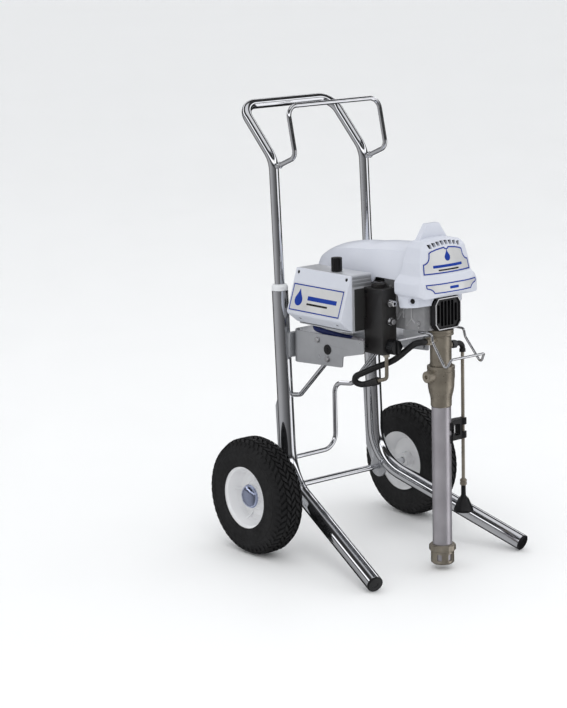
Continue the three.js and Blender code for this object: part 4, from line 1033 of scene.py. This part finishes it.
def shroud_at(y):
    """The shroud's half width, and its ridge's height above its base, at a distance along Y."""
    t = min(max((y - SHROUD_WIDEST_Y) / 184, 0), 1)
    height = 81.3
    for (y0, z0), (y1, z1) in zip(SHROUD_RIDGE, SHROUD_RIDGE[1:]):
        if y0 <= y <= y1:
            height = z0 + (z1 - z0) * (y - y0) / (y1 - y0) - SHROUD_BASE_Z
    return 70 * (1 - t ** 1.83) ** (1 / 1.85), height * (1 - t ** 2.1) ** (1 / 1.85)


def shroud_arch():
    """The cowl's section, as shares of its half width and height: bulging sides and a low crown on top."""
    crest_x, crest_z, bulge = 0.66, 0.85, 0.055
    side = []
    for k in range(12):
        t = k / 12
        swell = bulge * math.sin(math.pi * t)
        side.append((1 + (crest_x - 1) * t + swell * 0.93, crest_z * t + swell * 0.37))
    top = [(crest_x * (1 - k / 8), crest_z + (1 - crest_z) * (1 - (1 - k / 8) ** 2)) for k in range(9)]
    right = [(min(x, 1), z) for x, z in side + top]
    return [(-x, z) for x, z in right] + [(x, z) for x, z in reversed(right[:-1])]


SHROUD_ARCH = shroud_arch()


def shroud_body(inset):
    rings = []
    count = 60
    for i in range(count + 1):
        t = i / count
        y = SHROUD_FRONT_Y + SHROUD_LENGTH * (1 - (1 - t) ** 1.7)
        half, rise = shroud_at(y)
        across, up = max(half - inset, 0.5), max(rise - inset, 0.5)
        y -= inset * max(y - SHROUD_WIDEST_Y, 0) / 180
        skirt_z = 540 - 10 * inset
        arch = [v(across * x, y, SHROUD_BASE_Z + up * z) for x, z in SHROUD_ARCH]
        rings.append([v(-across, y, skirt_z), *arch, v(across, y, skirt_z)])
    return skin(rings)


def build_shroud():
    outline = [(-276, 613), (-289, 640), (-294.5, 700), (60, 700), (60, 560), (10, 560), (-30, 600),
               (-200, 600), (-206, 612), (-276, 612)]
    shell = boolean(shroud_body(0), "INTERSECT", prism(rounded(outline, 5), -100, 100, "X"))
    grooves = []
    for side in (-1, 1):
        line = [v(side * 71.2, y, 611 + 0.02 * y) for y in range(-272, -119, 8)]
        grooves.append(sweep(line, 1.5, 10, 0.2))
    shape = cut(shell, shroud_body(MOULDING_WALL), *grooves)
    piece("motor_cowl", bevelled(shape, 0.7, 2, 50), "motor_shroud", sharp=30)


# ---------------------------------------------------------------- labels

LABEL_GAP = 0.45
LABEL_DEPTH = 0.3


def surface_of(obj):
    """A search tree over an object's mesh, in the unit's millimetres."""
    to_unit = UNIT.inverted() @ obj.matrix_world
    bm = bmesh.new()
    bm.from_mesh(obj.data)
    moved(bm, to_unit)
    tree = BVHTree.FromBMesh(bm)
    bm.free()
    return tree


def resampled(outline, pitch):
    """Points at even steps round a closed outline, keeping its corners."""
    result = []
    points = [Vector(p) for p in outline]
    for a, b in zip(points, points[1:] + points[:1]):
        steps = max(1, round((b - a).length / pitch))
        result += [a.lerp(b, k / steps) for k in range(steps)]
    return result


def shrunk(points, amount):
    """Moves a closed outline inwards by an amount."""
    area = sum(a.cross(b) for a, b in zip(points, points[1:] + points[:1]))
    turn = 1 if area > 0 else -1
    moved_points = []
    for i, point in enumerate(points):
        before, after = points[i - 1], points[(i + 1) % len(points)]
        way = (after - before).normalized()
        moved_points.append(point + Vector((-way.y, way.x)) * turn * amount)
    return moved_points


def laid_on(tree, point, direction, lift):
    """A point of a flat drawing dropped onto the surface along a direction, then lifted off it."""
    hit, _, _, _ = tree.ray_cast(point, direction)
    return (hit if hit else point + direction * 50) - direction * lift


def label_strip(bm, edge, band, drop, lift):
    """The part of a label between two insets of its outline."""
    rims = [shrunk(edge, amount) for amount in band]
    count = len(edge)
    layers = [[bm.verts.new(drop(p, height)) for p in rim] for height in (lift, -LABEL_DEPTH) for rim in rims]
    for low, high in ((0, 1), (1, 3), (3, 2), (2, 0)):
        for k in range(count):
            near, far = layers[low], layers[high]
            bm.faces.new((near[k], near[(k + 1) % count], far[(k + 1) % count], far[k]))


def label_sheet(bm, edge, drop, lift):
    """The whole of a label, filled with triangles fine enough to follow the surface."""
    xs, ys = [p.x for p in edge], [p.y for p in edge]
    grid, x = [], min(xs) + 2
    while x < max(xs):
        y = min(ys) + 2
        while y < max(ys):
            grid.append(Vector((x, y)))
            y += 3
        x += 3
    points, _, faces, *_ = delaunay_2d_cdt([*edge, *grid], [], [list(range(len(edge)))], 1, 1e-4)
    top = [bm.verts.new(drop(p, lift)) for p in points]
    under = [bm.verts.new(drop(p, -LABEL_DEPTH)) for p in points]
    edges = {}
    for face in faces:
        bm.faces.new([top[i] for i in face])
        bm.faces.new([under[i] for i in reversed(face)])
        for a, b in zip(face, face[1:] + face[:1]):
            edges[(a, b)] = True
    for a, b in edges:
        if (b, a) not in edges:
            bm.faces.new((top[a], under[a], under[b], top[b]))
    for vert in [vert for vert in bm.verts if not vert.link_faces]:
        bm.verts.remove(vert)


def build_label(obj, place, direction, plates, marks):
    """Silver plates with blue lines inside their edges, and the marks on them, laid on an object's surface.

    place turns a drawing's two coordinates into a point that is dropped onto the surface along direction.
    """
    tree = surface_of(obj)
    drop = lambda p, lift: laid_on(tree, place(p.x, p.y), direction, lift)
    for name, outline, band in plates:
        edge = resampled(outline, 1.5)
        plate, line = bmesh.new(), bmesh.new()
        label_sheet(plate, edge, drop, LABEL_GAP)
        extra(name, plate, LABEL_SILVER, "satin_steel", 40)
        label_strip(line, edge, band, drop, LABEL_GAP + 0.25)
        extra(name + "_line", line, LABEL_BLUE, "blue_hose", 40)
    for name, outline, dark in marks:
        mark = bmesh.new()
        label_sheet(mark, resampled(outline, 1.5), drop, LABEL_GAP + 0.3)
        extra(name, mark, *((SHADE_AND_PRINT_BLACK, "black_plastic") if dark else (LABEL_BLUE, "blue_hose")), 40)


def drop_icon(x, y, size):
    """Outline of a plain drop standing on its round end."""
    points = [(x + size * 0.5 * math.sin(math.radians(d)),
               y - size * 0.1 - size * 0.5 * math.cos(math.radians(d))) for d in range(-120, 121, 12)]
    return [*points, (x + size * 0.14, y + size * 0.6), (x, y + size * 0.95),
            (x - size * 0.14, y + size * 0.6)]


def bar_icon(x0, x1, y0, y1):
    return rounded([(x0, y0), (x1, y0), (x1, y1), (x0, y1)], 1.2)


def build_cover_labels(cover):
    arc = [math.radians(a) for a in range(15, 91, 15)]
    hollow = [(48 + 15 * (1 - math.sin(a)), 653 + 15 * (1 - math.cos(a))) for a in arc]
    crest = [(47, 674.5), (40, 677.8), (26, 681.2), (10, 683.2), (4.4, 683.4), (3, 681.0), (0, 680.0)]
    shield = rounded(mirrored([(65.5, 629.5), (63, 653), *hollow, *crest]), 1.0)
    right = [(51, 592.0), (55, 597.5), (60, 601), (67.5, 603), (70, 605.5), (70.5, 613.5)]
    plate = rounded(mirrored(right), 0.8)
    build_label(cover, lambda x, z: v(x, -420, z), v(0, 1, 0),
                [("shield_label", shield, (0.9, 3.4)), ("lower_label", plate, (0.8, 3.0))],
                [("shield_drop", drop_icon(0, 663, 15), False),
                 ("shield_bar_upper", bar_icon(-40, 40, 642, 647.5), False),
                 ("shield_bar_lower", bar_icon(-28, 28, 635.5, 638.5), True),
                 ("lower_label_bar", bar_icon(-12, 12, 599.8, 605.2), False)])


# ---------------------------------------------------------------- pump


def pump(bm):
    return shifted(bm, 0, PUMP_Y, 0)


def build_pump():
    body = lathe([(10.5, 433), (23, 433), (23, 438), (22.4, 439), (22.4, 494), (23, 496), (27, 498),
                  (27, 501.8), (26.2, 502.4), (26.2, 503.4), (27, 504), (27, 509.3), (10.5, 509.3)], 96, 0.7,
                 closed=True)
    ports = [rod("X", 0, PUMP_OUT_Z, -18, -27, 8), rod("X", 0, DRAIN_OUT_Z, 18, 28, 7)]
    piece("bronze_pump_cylinder", pump(joined(body, *ports)), "pump_cylinder")
    foot = lathe([(12, 346), (20.5, 346), (22, 348.5), (22, 360), (22.8, 367), (25.5, 377), (27.4, 388),
                  (28.2, 404), (29, 410), (29, 421), (28.3, 422), (28.3, 424), (29, 425), (29, 432.7),
                  (12, 432.7)], 96, 1.0, closed=True)
    boss = rod("X", 0, 413, -10, -42, 13, 48, 12.2, 1.4)
    rib = bevelled(prism([(24, 424), (29.6, 424), (29.6, 418), (24, 396)], -3, 3, "Y"), 1.4, 2)
    socket = prism(ring_points((0, 413), 5, 6), -60, -38, "X")
    shape = cut(fused(foot, boss, rib), rod("Z", 0, 0, 340, 440, 12, 48), socket)
    piece("bronze_pump_foot", pump(shape), "pump_foot")
    pipe = lathe([(17, 50.3), (20.5, 50.3), (20.5, 345.7), (17, 345.7)], 72, 0.5, closed=True)
    piece("steel_suction_tube", pump(pipe), "suction_tube")
    knurl = wavy((0, 0), [28.4 if k % 2 else 27.0 for k in range(24)])
    grip = bevelled(prism(rounded(knurl, 2.2, 3), 37, 48.5), 0.9, 2)
    lips = lathe([(17.2, 36), (26, 36), (26, 50), (17.2, 50)], 72, 1.0, closed=True)
    ring = cut(fused(grip, lips), rod("Z", 0, 0, 20, 60, 17.1, 64, fillet=0))
    piece("strainer_nut", pump(ring), "strainer_collar")
    cup = lathe([(0, 8), (21, 8), (24.5, 11.5), (24.5, 35.7), (19, 35.7), (19, 12), (0, 12)], 72, 0.8)
    cuts = []
    for k in range(6):
        slot = prism(rounded([(-5.5, 16), (5.5, 16), (5.5, 31), (-5.5, 31)], 3), 10, 40, "Y")
        cuts.append(moved(slot, Matrix.Rotation(math.pi * k / 3, 4, "Z")))
    for x, y in ring_points((0, 0), 9, 3):
        cuts.append(rod("Z", x, y, 0, 20, 5, 24))
    mesh_ring = lathe([(19.6, 13), (20.4, 13), (20.4, 34), (19.6, 34)], 72, 0, closed=True)
    piece("slotted_strainer", pump(cut(cup, *cuts)), "strainer")
    extra("strainer_gauze", pump(mesh_ring), MATERIALS["satin_steel"], "satin_steel")


def build_pump_fittings():
    hexed = nut("X", PUMP_Y, PUMP_OUT_Z, -27.3, -36, 9.5)
    ferrule = lathe([(0, 0), (7.2, 0), (7.5, 1), (7.5, 2), (6.9, 2.6), (7.5, 3.4), (7.5, 6.4), (0, 6.8)], 40,
                    0.3)
    piece("outlet_swivel", joined(hexed, aimed(ferrule, v(-35.2, PUMP_Y, PUMP_OUT_Z), v(-1, 0, 0))),
          "outlet_fitting", sharp=28)
    route = bent([v(28.3, PUMP_Y, DRAIN_OUT_Z), v(DRAIN_X, PUMP_Y, DRAIN_OUT_Z), v(DRAIN_X, PUMP_Y, 452)], 12)
    elbow = joined(sweep(route, 5.5, 32, 0.5), nut("X", PUMP_Y, DRAIN_OUT_Z, 30, 42, 9),
                   rod("Z", DRAIN_X, PUMP_Y, 459, 452, 6.6))
    piece("drain_barb_elbow", elbow, "drain_elbow", sharp=28)
    collar = lathe([(0, 165), (6.2, 165), (7.2, 167), (7.2, 171), (6.2, 172.5), (7.2, 174), (7.2, 177),
                    (5, 179), (0, 179)], 32, 0.4)
    pipe = joined(rod("Z", 0, 0, 178, 451.7, 3.6), collar)
    piece("drain_pipe", shifted(pipe, DRAIN_X, PUMP_Y, 0), "drain_tube")
    cone = lathe([(3.2, 108), (18.6, 108), (20.5, 110), (20.5, 113), (18.9, 117), (11, 136), (6, 141),
                  (5, 145), (5, 164.7), (3.2, 164.7)], 56, 0.8, closed=True)
    piece("splash_cone", shifted(cone, DRAIN_X, PUMP_Y, 0), "deflector")


def build_clip():
    def arc(x, radius, start, end):
        return [(x + radius * math.cos(math.radians(start + (end - start) * k / 16)),
                 PUMP_Y + radius * math.sin(math.radians(start + (end - start) * k / 16))) for k in range(17)]
    outline = [*arc(0, 24, 75, 20), (50, PUMP_Y + 8), *arc(DRAIN_X, 7.5, 130, 40), *arc(DRAIN_X, 4, 40, 320),
               *arc(DRAIN_X, 7.5, 320, 230), (50, PUMP_Y - 8), *arc(0, 24, -20, -75), *arc(0, 21.4, -75, 75)]
    clip = prism(outline, 268, 312)
    cuts = [block((-10, PUMP_Y - 40, 285), (26, PUMP_Y + 40, 295)),
            block((54, PUMP_Y - 40, 283), (75, PUMP_Y + 40, 297)),
            bevelled(block((30, PUMP_Y - 40, 278), (46, PUMP_Y + 40, 302)), 3, 3)]
    piece("pipe_clip", bevelled(cut(clip, *cuts), 0.6), "tube_clip")


def build_pail_hook():
    half = [[v(side * 45, -314, 507), v(side * 45, -352, 507), v(side * 46, -356, 490),
             v(side * 50, -398, 440), v(side * 46, -411, 462)] for side in (-1, 1)]
    route = bent([*half[0], *reversed(half[1])], [6, 8, 7, 4, 4, 7, 8, 6])
    piece("bent_wire_pail_hook", sweep(route, 2.6, 24, 0.5), "pail_hook")


# ---------------------------------------------------------------- control box


def build_control_housing():
    outer = bevelled(block((BOX_SPLIT_X, BOX_FRONT_Y, BOX_BOTTOM_Z), (BOX_INNER_X, BOX_REAR_Y, BOX_TOP_Z)),
                     1.6, 3)
    wall = 2.5
    inner = block((BOX_SPLIT_X - 5, BOX_FRONT_Y + wall, BOX_BOTTOM_Z + wall),
                  (BOX_INNER_X - wall, BOX_REAR_Y - wall, BOX_TOP_Z - wall))
    holes = [rod("Z", DIAL_X, DIAL_Y, BOX_TOP_Z - 10, BOX_TOP_Z + 10, 5),
             rod("Y", TOGGLE_X, TOGGLE_Z, BOX_REAR_Y - 10, BOX_REAR_Y + 10, 6),
             rod("Y", GLAND_X, GLAND_Z, BOX_REAR_Y - 10, BOX_REAR_Y + 10, 9),
             rod("Z", JUMPER_X, JUMPER_Y, BOX_BOTTOM_Z - 5, BOX_BOTTOM_Z + 10, 4.5)]
    piece("control_box_body", cut(outer, inner, *holes), "control_housing", BOX_METAL)
    bands = []
    for low, high in ((-9, -3), (-16, -11), (-24, -18)):
        bands.append(bevelled(block((BOX_SPLIT_X + 2, BOX_FRONT_Y - 0.9, BOX_TOP_Z + low),
                                    (BOX_INNER_X - 2, BOX_FRONT_Y + 0.2, BOX_TOP_Z + high)), 0.6, 3))
    extra("control_box_bands", joined(*bands), MATERIALS["zinc_sheet"], "cast_aluminium")
    # Painted shade: a black plate on the box's front face below the bands, where the box lies in shadow.
    plate = bevelled(block((BOX_SPLIT_X + 7, BOX_FRONT_Y - 1.1, BOX_BOTTOM_Z + 4),
                           (BOX_INNER_X - 2, BOX_FRONT_Y + 0.2, BOX_TOP_Z - 29)), 0.5)
    extra("control_box_painted_shade_plate", plate, MATERIALS["black_metal"], "black_metal")


def build_control_panel():
    edge_x = BOX_SPLIT_X - 0.3
    outline = [(edge_x, BOX_TOP_Z), (-134, BOX_TOP_Z), (-164, 531), (-162, 526), (edge_x, 502)]
    hollow = [(edge_x + 8, BOX_TOP_Z - 3), (-135, BOX_TOP_Z - 3), (-160.5, 531.5), (edge_x + 8, 502)]
    shell = bevelled(prism(rounded(outline, 3.2, 5), BOX_FRONT_Y - 1.5, BOX_REAR_Y + 1.5, "Y"), 0.9, 3)
    inner = prism(hollow, BOX_FRONT_Y + 1.5, BOX_REAR_Y - 1.5, "Y")
    slope = (v(-164, 0, 531) - v(-134, 0, 621)).normalized()
    outward = v(slope.z, 0, -slope.x)
    if outward.x > 0:
        outward = -outward
    under = v(162 - 131.3, 0, 502 - 526).normalized()
    below = v(under.z, 0, -under.x)
    if below.z > 0:
        below = -below
    upper = [v(-134, y, 621) + slope * 9 for y in (BOX_FRONT_Y + 9, BOX_REAR_Y - 9)]
    lower = [v(-162, y, 526) + under * 16 for y in (BOX_FRONT_Y + 26, BOX_REAR_Y - 26)]
    dishes = [aimed(lathe([(0, -3), (4.4, -3), (3.4, 1.8), (0, 1.8)], 32, 0), spot, -outward)
              for spot in upper]
    dishes += [aimed(lathe([(0, -3), (4.4, -3), (3.4, 1.8), (0, 1.8)], 32, 0), spot, -below)
               for spot in lower]
    shape = cut(shell, inner, *dishes)
    panel = piece("sloping_panel", shape, "control_panel")
    heads = []
    for spots, way in ((upper, outward), (lower, below)):
        for spot in spots:
            head = lathe([(0, 0), (3.3, 0), (3.1, 1.0), (2.2, 1.5), (0, 1.6)], 28, 0.2)
            slot = prism(ring_points((0, 0), 1.5, 6), 0.7, 3)
            heads.append(aimed(cut(head, slot), spot - way * 1.75, way))
    extra("panel_screws", joined(*heads), MATERIALS["black_metal"], "black_metal")
    build_panel_label(panel, slope)


def build_panel_label(panel, slope):
    """Silver label on the sloping face, drawn as [along -Y, up the slope] from the face's top rear corner."""
    rear, top = BOX_REAR_Y + 1.5, v(-134, 0, 621)
    drop = [(x, 126 - w) for x, w in drop_icon(30, 61, 24)]
    build_label(panel, lambda u, w: top + v(-40, rear - u, 0) + slope * w, v(1, 0, 0),
                [("panel_label", rounded([(4, 32), (167, 32), (167, 92), (4, 92)], 1.4), (1.4, 3.8))],
                [("panel_drop", drop, False), ("panel_bar_upper", bar_icon(58, 150, 56, 65), False),
                 ("panel_bar_lower", bar_icon(58, 124, 71, 75), True)])


def build_controls():
    outline = wavy((0, 0), [11.5 - (0.7 if k % 4 in (1, 2) else 0) for k in range(72)])
    grip = bevelled(prism(outline, BOX_TOP_Z + 3, BOX_TOP_Z + 29.4), 0.5, 2)
    skirt = lathe([(0, BOX_TOP_Z - 8), (3.5, BOX_TOP_Z - 8), (3.5, BOX_TOP_Z + 1), (11.5, BOX_TOP_Z + 1),
                   (11.5, BOX_TOP_Z + 4.5), (0, BOX_TOP_Z + 4.5)], 48, 0.5)
    pointer = bevelled(block((-1, -12.5, BOX_TOP_Z + 5), (1, -9, BOX_TOP_Z + 28)), 0.4)
    cap = lathe([(0, BOX_TOP_Z + 29), (9, BOX_TOP_Z + 29), (9, BOX_TOP_Z + 29.8), (7.8, BOX_TOP_Z + 30),
                 (0, BOX_TOP_Z + 30)], 48, 0.2)
    knob = moved(joined(grip, skirt, pointer, cap), Matrix.Translation((DIAL_X, DIAL_Y, 0)))
    piece("fluted_pressure_knob", knob, "pressure_knob", sharp=25)
    lever = sweep([v(TOGGLE_X, BOX_REAR_Y - 6, TOGGLE_Z), v(-122, BOX_REAR_Y + 6, 596.4),
                   v(-122, BOX_REAR_Y + 16, 600)], lambda t: 2.4 + 0.6 * t, 24, 1.2)
    boot = aimed(lathe([(0, 0), (5, 0), (5, 1.5), (4.2, 2.2), (4.6, 3.2), (3.8, 4), (4.1, 5), (3.2, 7.5),
                        (0, 7.5)], 32, 0.4), v(-122, BOX_REAR_Y + 3, 594), v(0, 7, 3))
    piece("toggle_lever", joined(lever, boot), "power_switch")
    hexed = nut("Y", GLAND_X, GLAND_Z, BOX_REAR_Y + 0.3, BOX_REAR_Y + 8, 12)
    sleeve = aimed(lathe([(0, 0), (8, 0), (8, 16), (7.4, 17), (8, 18), (7.3, 19.5), (7.8, 21), (6.8, 24),
                          (0, 24)], 40, 0.4), v(GLAND_X, BOX_REAR_Y - 6, GLAND_Z), v(0, 1, 0))
    bore = rod("Y", GLAND_X, GLAND_Z, BOX_REAR_Y - 20, BOX_REAR_Y + 30, 4.5)
    piece("lead_gland", cut(fused(hexed, sleeve), bore), "cord_gland")


# ---------------------------------------------------------------- manifold and hoses


def build_manifold():
    block_shape = bevelled(block((-100, MANIFOLD_FRONT_Y, MANIFOLD_BOTTOM_Z),
                                 (-60.3, MANIFOLD_REAR_Y, MANIFOLD_TOP_Z)), 1.3, 3)
    holes = [rod("Z", FILTER_X, FILTER_Y, 492, MANIFOLD_TOP_Z + 5, 14, 48),
             rod("Y", OUTLET_X, OUTLET_Z, MANIFOLD_FRONT_Y - 5, FILTER_Y, 5),
             rod("Y", SENSOR_X, SENSOR_Z, MANIFOLD_FRONT_Y - 5, FILTER_Y, 4),
             rod("Y", FILTER_X, PRIME_Z, MANIFOLD_FRONT_Y - 5, MANIFOLD_FRONT_Y + 22, 5),
             block((-105, MANIFOLD_REAR_Y - 9, 530), (-95, MANIFOLD_REAR_Y + 5, 575))]
    spots = ((-214, 586), (-214, 471))
    holes += [rod("X", y, z, -104, -98.8, 4.6, fillet=0) for y, z in spots]
    piece("machined_manifold", cut(block_shape, *holes), "manifold_block")
    heads = []
    for y, z in spots:
        head = lathe([(0, 0), (4.1, 0), (4.1, 1.6), (3.5, 2.2), (0, 2.2)], 32, 0.2)
        heads.append(aimed(cut(head, prism(ring_points((0, 0), 2.0, 6), 1.0, 4)), v(-98.7, y, z),
                           v(-1, 0, 0)))
    extra("manifold_screws", joined(*heads), MATERIALS["black_plastic"], "black_plastic")
    cap = lathe([(0, 589), (13, 589), (13, 595.3), (16, 595.3), (16, 602), (11, 606), (0, 606)], 56, 0.7)
    shifted(cap, FILTER_X, FILTER_Y, 0)
    socket = prism(ring_points((FILTER_X, FILTER_Y), 5.5, 6), 602.5, 610)
    piece("filter_bore_cap", cut(cap, socket), "filter_cap")


def build_manifold_fittings():
    chrome, front = BRUSHED_BAND, MANIFOLD_FRONT_Y - 0.3
    hexed = nut("Y", OUTLET_X, OUTLET_Z, front, front - 8, 9)
    thread = [(0, 0), (6.5, 0)]
    for k in range(5):
        thread += [(6.5, 2 + 1.9 * k), (5.8, 2.9 + 1.9 * k)]
    thread += [(6.4, 11.6), (4.6, 12), (0, 12)]
    spigot = aimed(lathe(thread, 40, 0), v(OUTLET_X, front - 7, OUTLET_Z), v(0, -1, 0))
    bore = rod("Y", OUTLET_X, OUTLET_Z, front - 30, front + 5, 3, 24)
    piece("threaded_hose_outlet", cut(fused(hexed, spigot), bore), "hose_outlet", chrome, sharp=28)
    collar = rod("Y", SENSOR_X, SENSOR_Z, front, front - 5, 9, 40, 8.4)
    plug = nut("Y", SENSOR_X, SENSOR_Z, front - 4, front - 14, 6.5)
    piece("pressure_sender", joined(collar, plug), "pressure_sensor", chrome, sharp=28)
    y = MANIFOLD_FRONT_Y
    stem = rod("Y", FILTER_X, PRIME_Z, y + 14, y - 4, 4.2, 24)
    lobes = wavy((FILTER_X, PRIME_Z), [15.2 + 0.8 * math.cos(math.radians(30 * k)) for k in range(72)])
    cap = bevelled(prism(lobes, y - 22, y - 2, "Y"), 1.6, 3)
    ridge = block((FILTER_X - 3, y - 26, PRIME_Z - 13), (FILTER_X + 3, y - 20, PRIME_Z + 13))
    grip = bevelled(ridge, 1.4, 3)
    piece("prime_valve_handle", joined(cap, stem, grip), "prime_valve_knob", sharp=28)


def build_hoses():
    jumper = smooth_route([v(-94.2, -164.8, 479), v(-98, -140, 480), v(-103, -105, 483), v(-106, -76, 486),
                           v(-106, -61, 488.5), v(-104.6, -56.4, 492), v(JUMPER_X, JUMPER_Y, 495)])
    piece("blue_jumper_hose", sweep(jumper, 6.2, 32, 0.5), "jumper_hose")
    ferrule = aimed(lathe([(0, 0), (6.4, 0), (6.8, 1), (6.8, 6), (6.1, 7), (6.8, 8), (6.8, 14), (6.1, 15),
                           (6.8, 16), (6.8, 22), (6, 23.6), (0, 23.6)], 40, 0.4), v(-94, -166.3, 479),
                    v(1, -23.7, -1.5))
    hexed = hexagon(v(-93, -189, 477.5), v(-92.6, -199, 477), 8)
    nipple = bar(v(-92.6, -198, 477), v(-92.4, MANIFOLD_REAR_Y + 0.3, 476.6), 5, 24)
    piece("jumper_crimp", joined(ferrule, hexed, nipple), "jumper_ferrule", sharp=28)
    top = v(-77, -249, MANIFOLD_BOTTOM_Z - 0.3)
    pipe = sweep(bent([top, v(-77, -249, 403), v(-82, -229, 397)], 9), 4, 24, 0.3)
    piece("bronze_outlet_pipe", joined(pipe, hexagon(top, v(-77, -249, 449), 7)), "manifold_pipe", sharp=28)
    start, middle = v(-82.1, -228.6, 396.9), v(-86, -213, 391)
    collar = bar(start, middle, 8.5, 40, fillet=1.2)
    crimp = bar(v(-85.7, -214, 391.4), v(-89, -200, 387), 7, 40, fillet=0.8)
    piece("hose_crimp", joined(collar, crimp), "hose_elbow")
    loop = smooth_route([v(-89.4, -198.6, 386.6), v(-94, -186, 384.5), v(-101, -177, 390), v(-101, -179, 401),
                         v(-94, -192, 409), v(-80, -218, 423), v(-64, -249, 438), v(-58, -268, 451),
                         v(-57, -288, 466), v(-58, -306, 478), v(-58, -320, 485.5), v(-53, -329, 488),
                         v(-48.5, PUMP_Y, PUMP_OUT_Z), v(-43.4, PUMP_Y, PUMP_OUT_Z)])
    piece("black_outlet_hose", sweep(loop, 6.5, 32, 0.5), "loop_hose")


# ---------------------------------------------------------------- the rest of the CAD nodes

INNER_NODES = ("motor_rotor", "cooling_fan", "crank_gear", "circuit_board", "filter_element")


def finish_inner_nodes():
    for node in INNER_NODES:
        mesh = frame["nodes"][node].data
        mesh.materials.clear()
        mesh.materials.append(MATERIALS[SLOT_OF[node]])


# ---------------------------------------------------------------- studio

CAMERA_TARGET = Vector((0, 0.2986, 0.3728))
CAMERA_DISTANCE = 4.9136
CAMERA_AZIMUTH, CAMERA_HEIGHT = math.radians(-39.4), math.radians(12.8)
CAMERA_ROLL = math.radians(-0.4)
CAMERA_LENS, CAMERA_SENSOR = 111.02, 36
LAMP_TARGET = Vector((0, 0.1, 0.45))
FLOOR_REACH = 60


def build_camera():
    back = Vector((math.sin(CAMERA_AZIMUTH) * math.cos(CAMERA_HEIGHT),
                   -math.cos(CAMERA_AZIMUTH) * math.cos(CAMERA_HEIGHT), math.sin(CAMERA_HEIGHT)))
    camera = linked("camera", bpy.data.cameras.new("camera"))
    camera.data.lens, camera.data.sensor_width, camera.data.clip_end = CAMERA_LENS, CAMERA_SENSOR, 200
    camera.rotation_mode = "QUATERNION"
    camera.location = CAMERA_TARGET + back * CAMERA_DISTANCE
    camera.rotation_quaternion = (-back).to_track_quat("-Z", "Y") @ Quaternion((0, 0, 1), CAMERA_ROLL)
    bpy.context.scene.camera = camera


def build_floor():
    bm = bmesh.new()
    bmesh.ops.create_grid(bm, x_segments=24, y_segments=24, size=FLOOR_REACH)
    f = Finish("pale_floor", specular=0.3)
    f.colour(f.noise(0.8, 4), (0.95, 0.95, 0.95), (0.96, 0.96, 0.96))
    f.rough(f.noise(6, 3), 0.5, 0.6)
    floor = solid("studio_floor", bm)
    floor.data.materials.append(f.material)
    floor.visible_glossy = False


# Brightness of the boxes that glossy surfaces see: by degrees round the horizon, and by share of height.
BOXES_AROUND = ((-180, 0.01), (-136, 0.01), (-128, 0.30), (-96, 0.44), (-60, 0.38), (-24, 0.22), (16, 0.12),
                (44, 0.06), (54, 0.04), (60, 1.15), (90, 1.15), (99, 0.03), (180, 0.01))
BOXES_ABOVE = ((0.0, 0.02), (0.66, 0.03), (0.70, 1.5), (0.755, 1.5), (0.79, 0.03), (0.93, 0.04), (0.96, 0.8),
               (1.0, 0.8))
HORIZON_TO_ABOVE = ((0.0, 0.0), (0.56, 0.0), (0.62, 1.0), (1.0, 1.0))
BACKDROP = (0.97, 0.985, 1.0, 1)


def cool_greys(stops):
    return [(position, (value, value, value * 1.02)) for position, value in stops]


def build_world():
    """White studio; glossy surfaces see white boxes with dark gaps between them near the horizon."""
    world = bpy.data.worlds.new("studio")
    bpy.context.scene.world = world
    world.use_nodes = True
    tree = world.node_tree
    place = add(tree, "TexCoord").outputs["Generated"]

    def along(direction):
        dot = add(tree, "VectorMath")
        dot.operation = "DOT_PRODUCT"
        feed(tree, dot.inputs[0], place)
        feed(tree, dot.inputs[1], direction)
        return dot.outputs["Value"]

    turn = add(tree, "Math")
    turn.operation = "ARCTAN2"
    feed(tree, turn.inputs[0], along((0.773, -0.635, 0)))
    feed(tree, turn.inputs[1], along((-0.635, -0.773, 0)))
    share = remapped(tree, turn.outputs[0], -math.pi, math.pi)
    around = ramp(tree, share, cool_greys([((angle + 180) / 360, value) for angle, value in BOXES_AROUND]))
    rise = remapped(tree, along((0, 0, 1)), -1, 1)
    above = ramp(tree, rise, cool_greys(BOXES_ABOVE))
    boxes = mixed(tree, ramp(tree, rise, cool_greys(HORIZON_TO_ABOVE)), around, above)
    glossy = add(tree, "LightPath").outputs["Is Glossy Ray"]
    background = tree.nodes["Background"]
    feed(tree, background.inputs["Color"], mixed(tree, glossy, BACKDROP, boxes))
    background.inputs["Strength"].default_value = 0.97


def build_lights():
    for name, place, size, power, colour in (
        ("key_softbox", (-1.6, -2.6, 3.2), 2.2, 24, (1.0, 0.99, 0.97)),
        ("fill_softbox", (3.2, -1.2, 2.2), 2.4, 10, (0.94, 0.97, 1.0)),
        ("top_softbox", (0.2, 0.6, 3.6), 2.6, 12, (1, 1, 1)),
    ):
        light = bpy.data.lights.new(name, "AREA")
        light.size, light.energy, light.color = size, power, colour
        lamp = linked(name, light)
        lamp.visible_glossy = False
        lamp.location = place
        lamp.rotation_mode = "QUATERNION"
        lamp.rotation_quaternion = (LAMP_TARGET - Vector(place)).to_track_quat("-Z", "Y")


# ---------------------------------------------------------------- the scene

build_camera()
build_world()
build_lights()
build_floor()
bpy.context.scene.view_settings.view_transform = "Standard"
build_frame_tubes()
build_gussets()
build_handle()
build_support_rod()
build_bracket()
build_wheels()
build_motor()
build_housing()
build_guard()
build_drive_details()
build_cover()
build_shroud()
build_cover_labels(bpy.data.objects["moulded_front_cover"])
build_pump()
build_pump_fittings()
build_clip()
build_pail_hook()
build_control_housing()
build_control_panel()
build_controls()
build_manifold()
build_manifold_fittings()
build_hoses()
finish_inner_nodes()
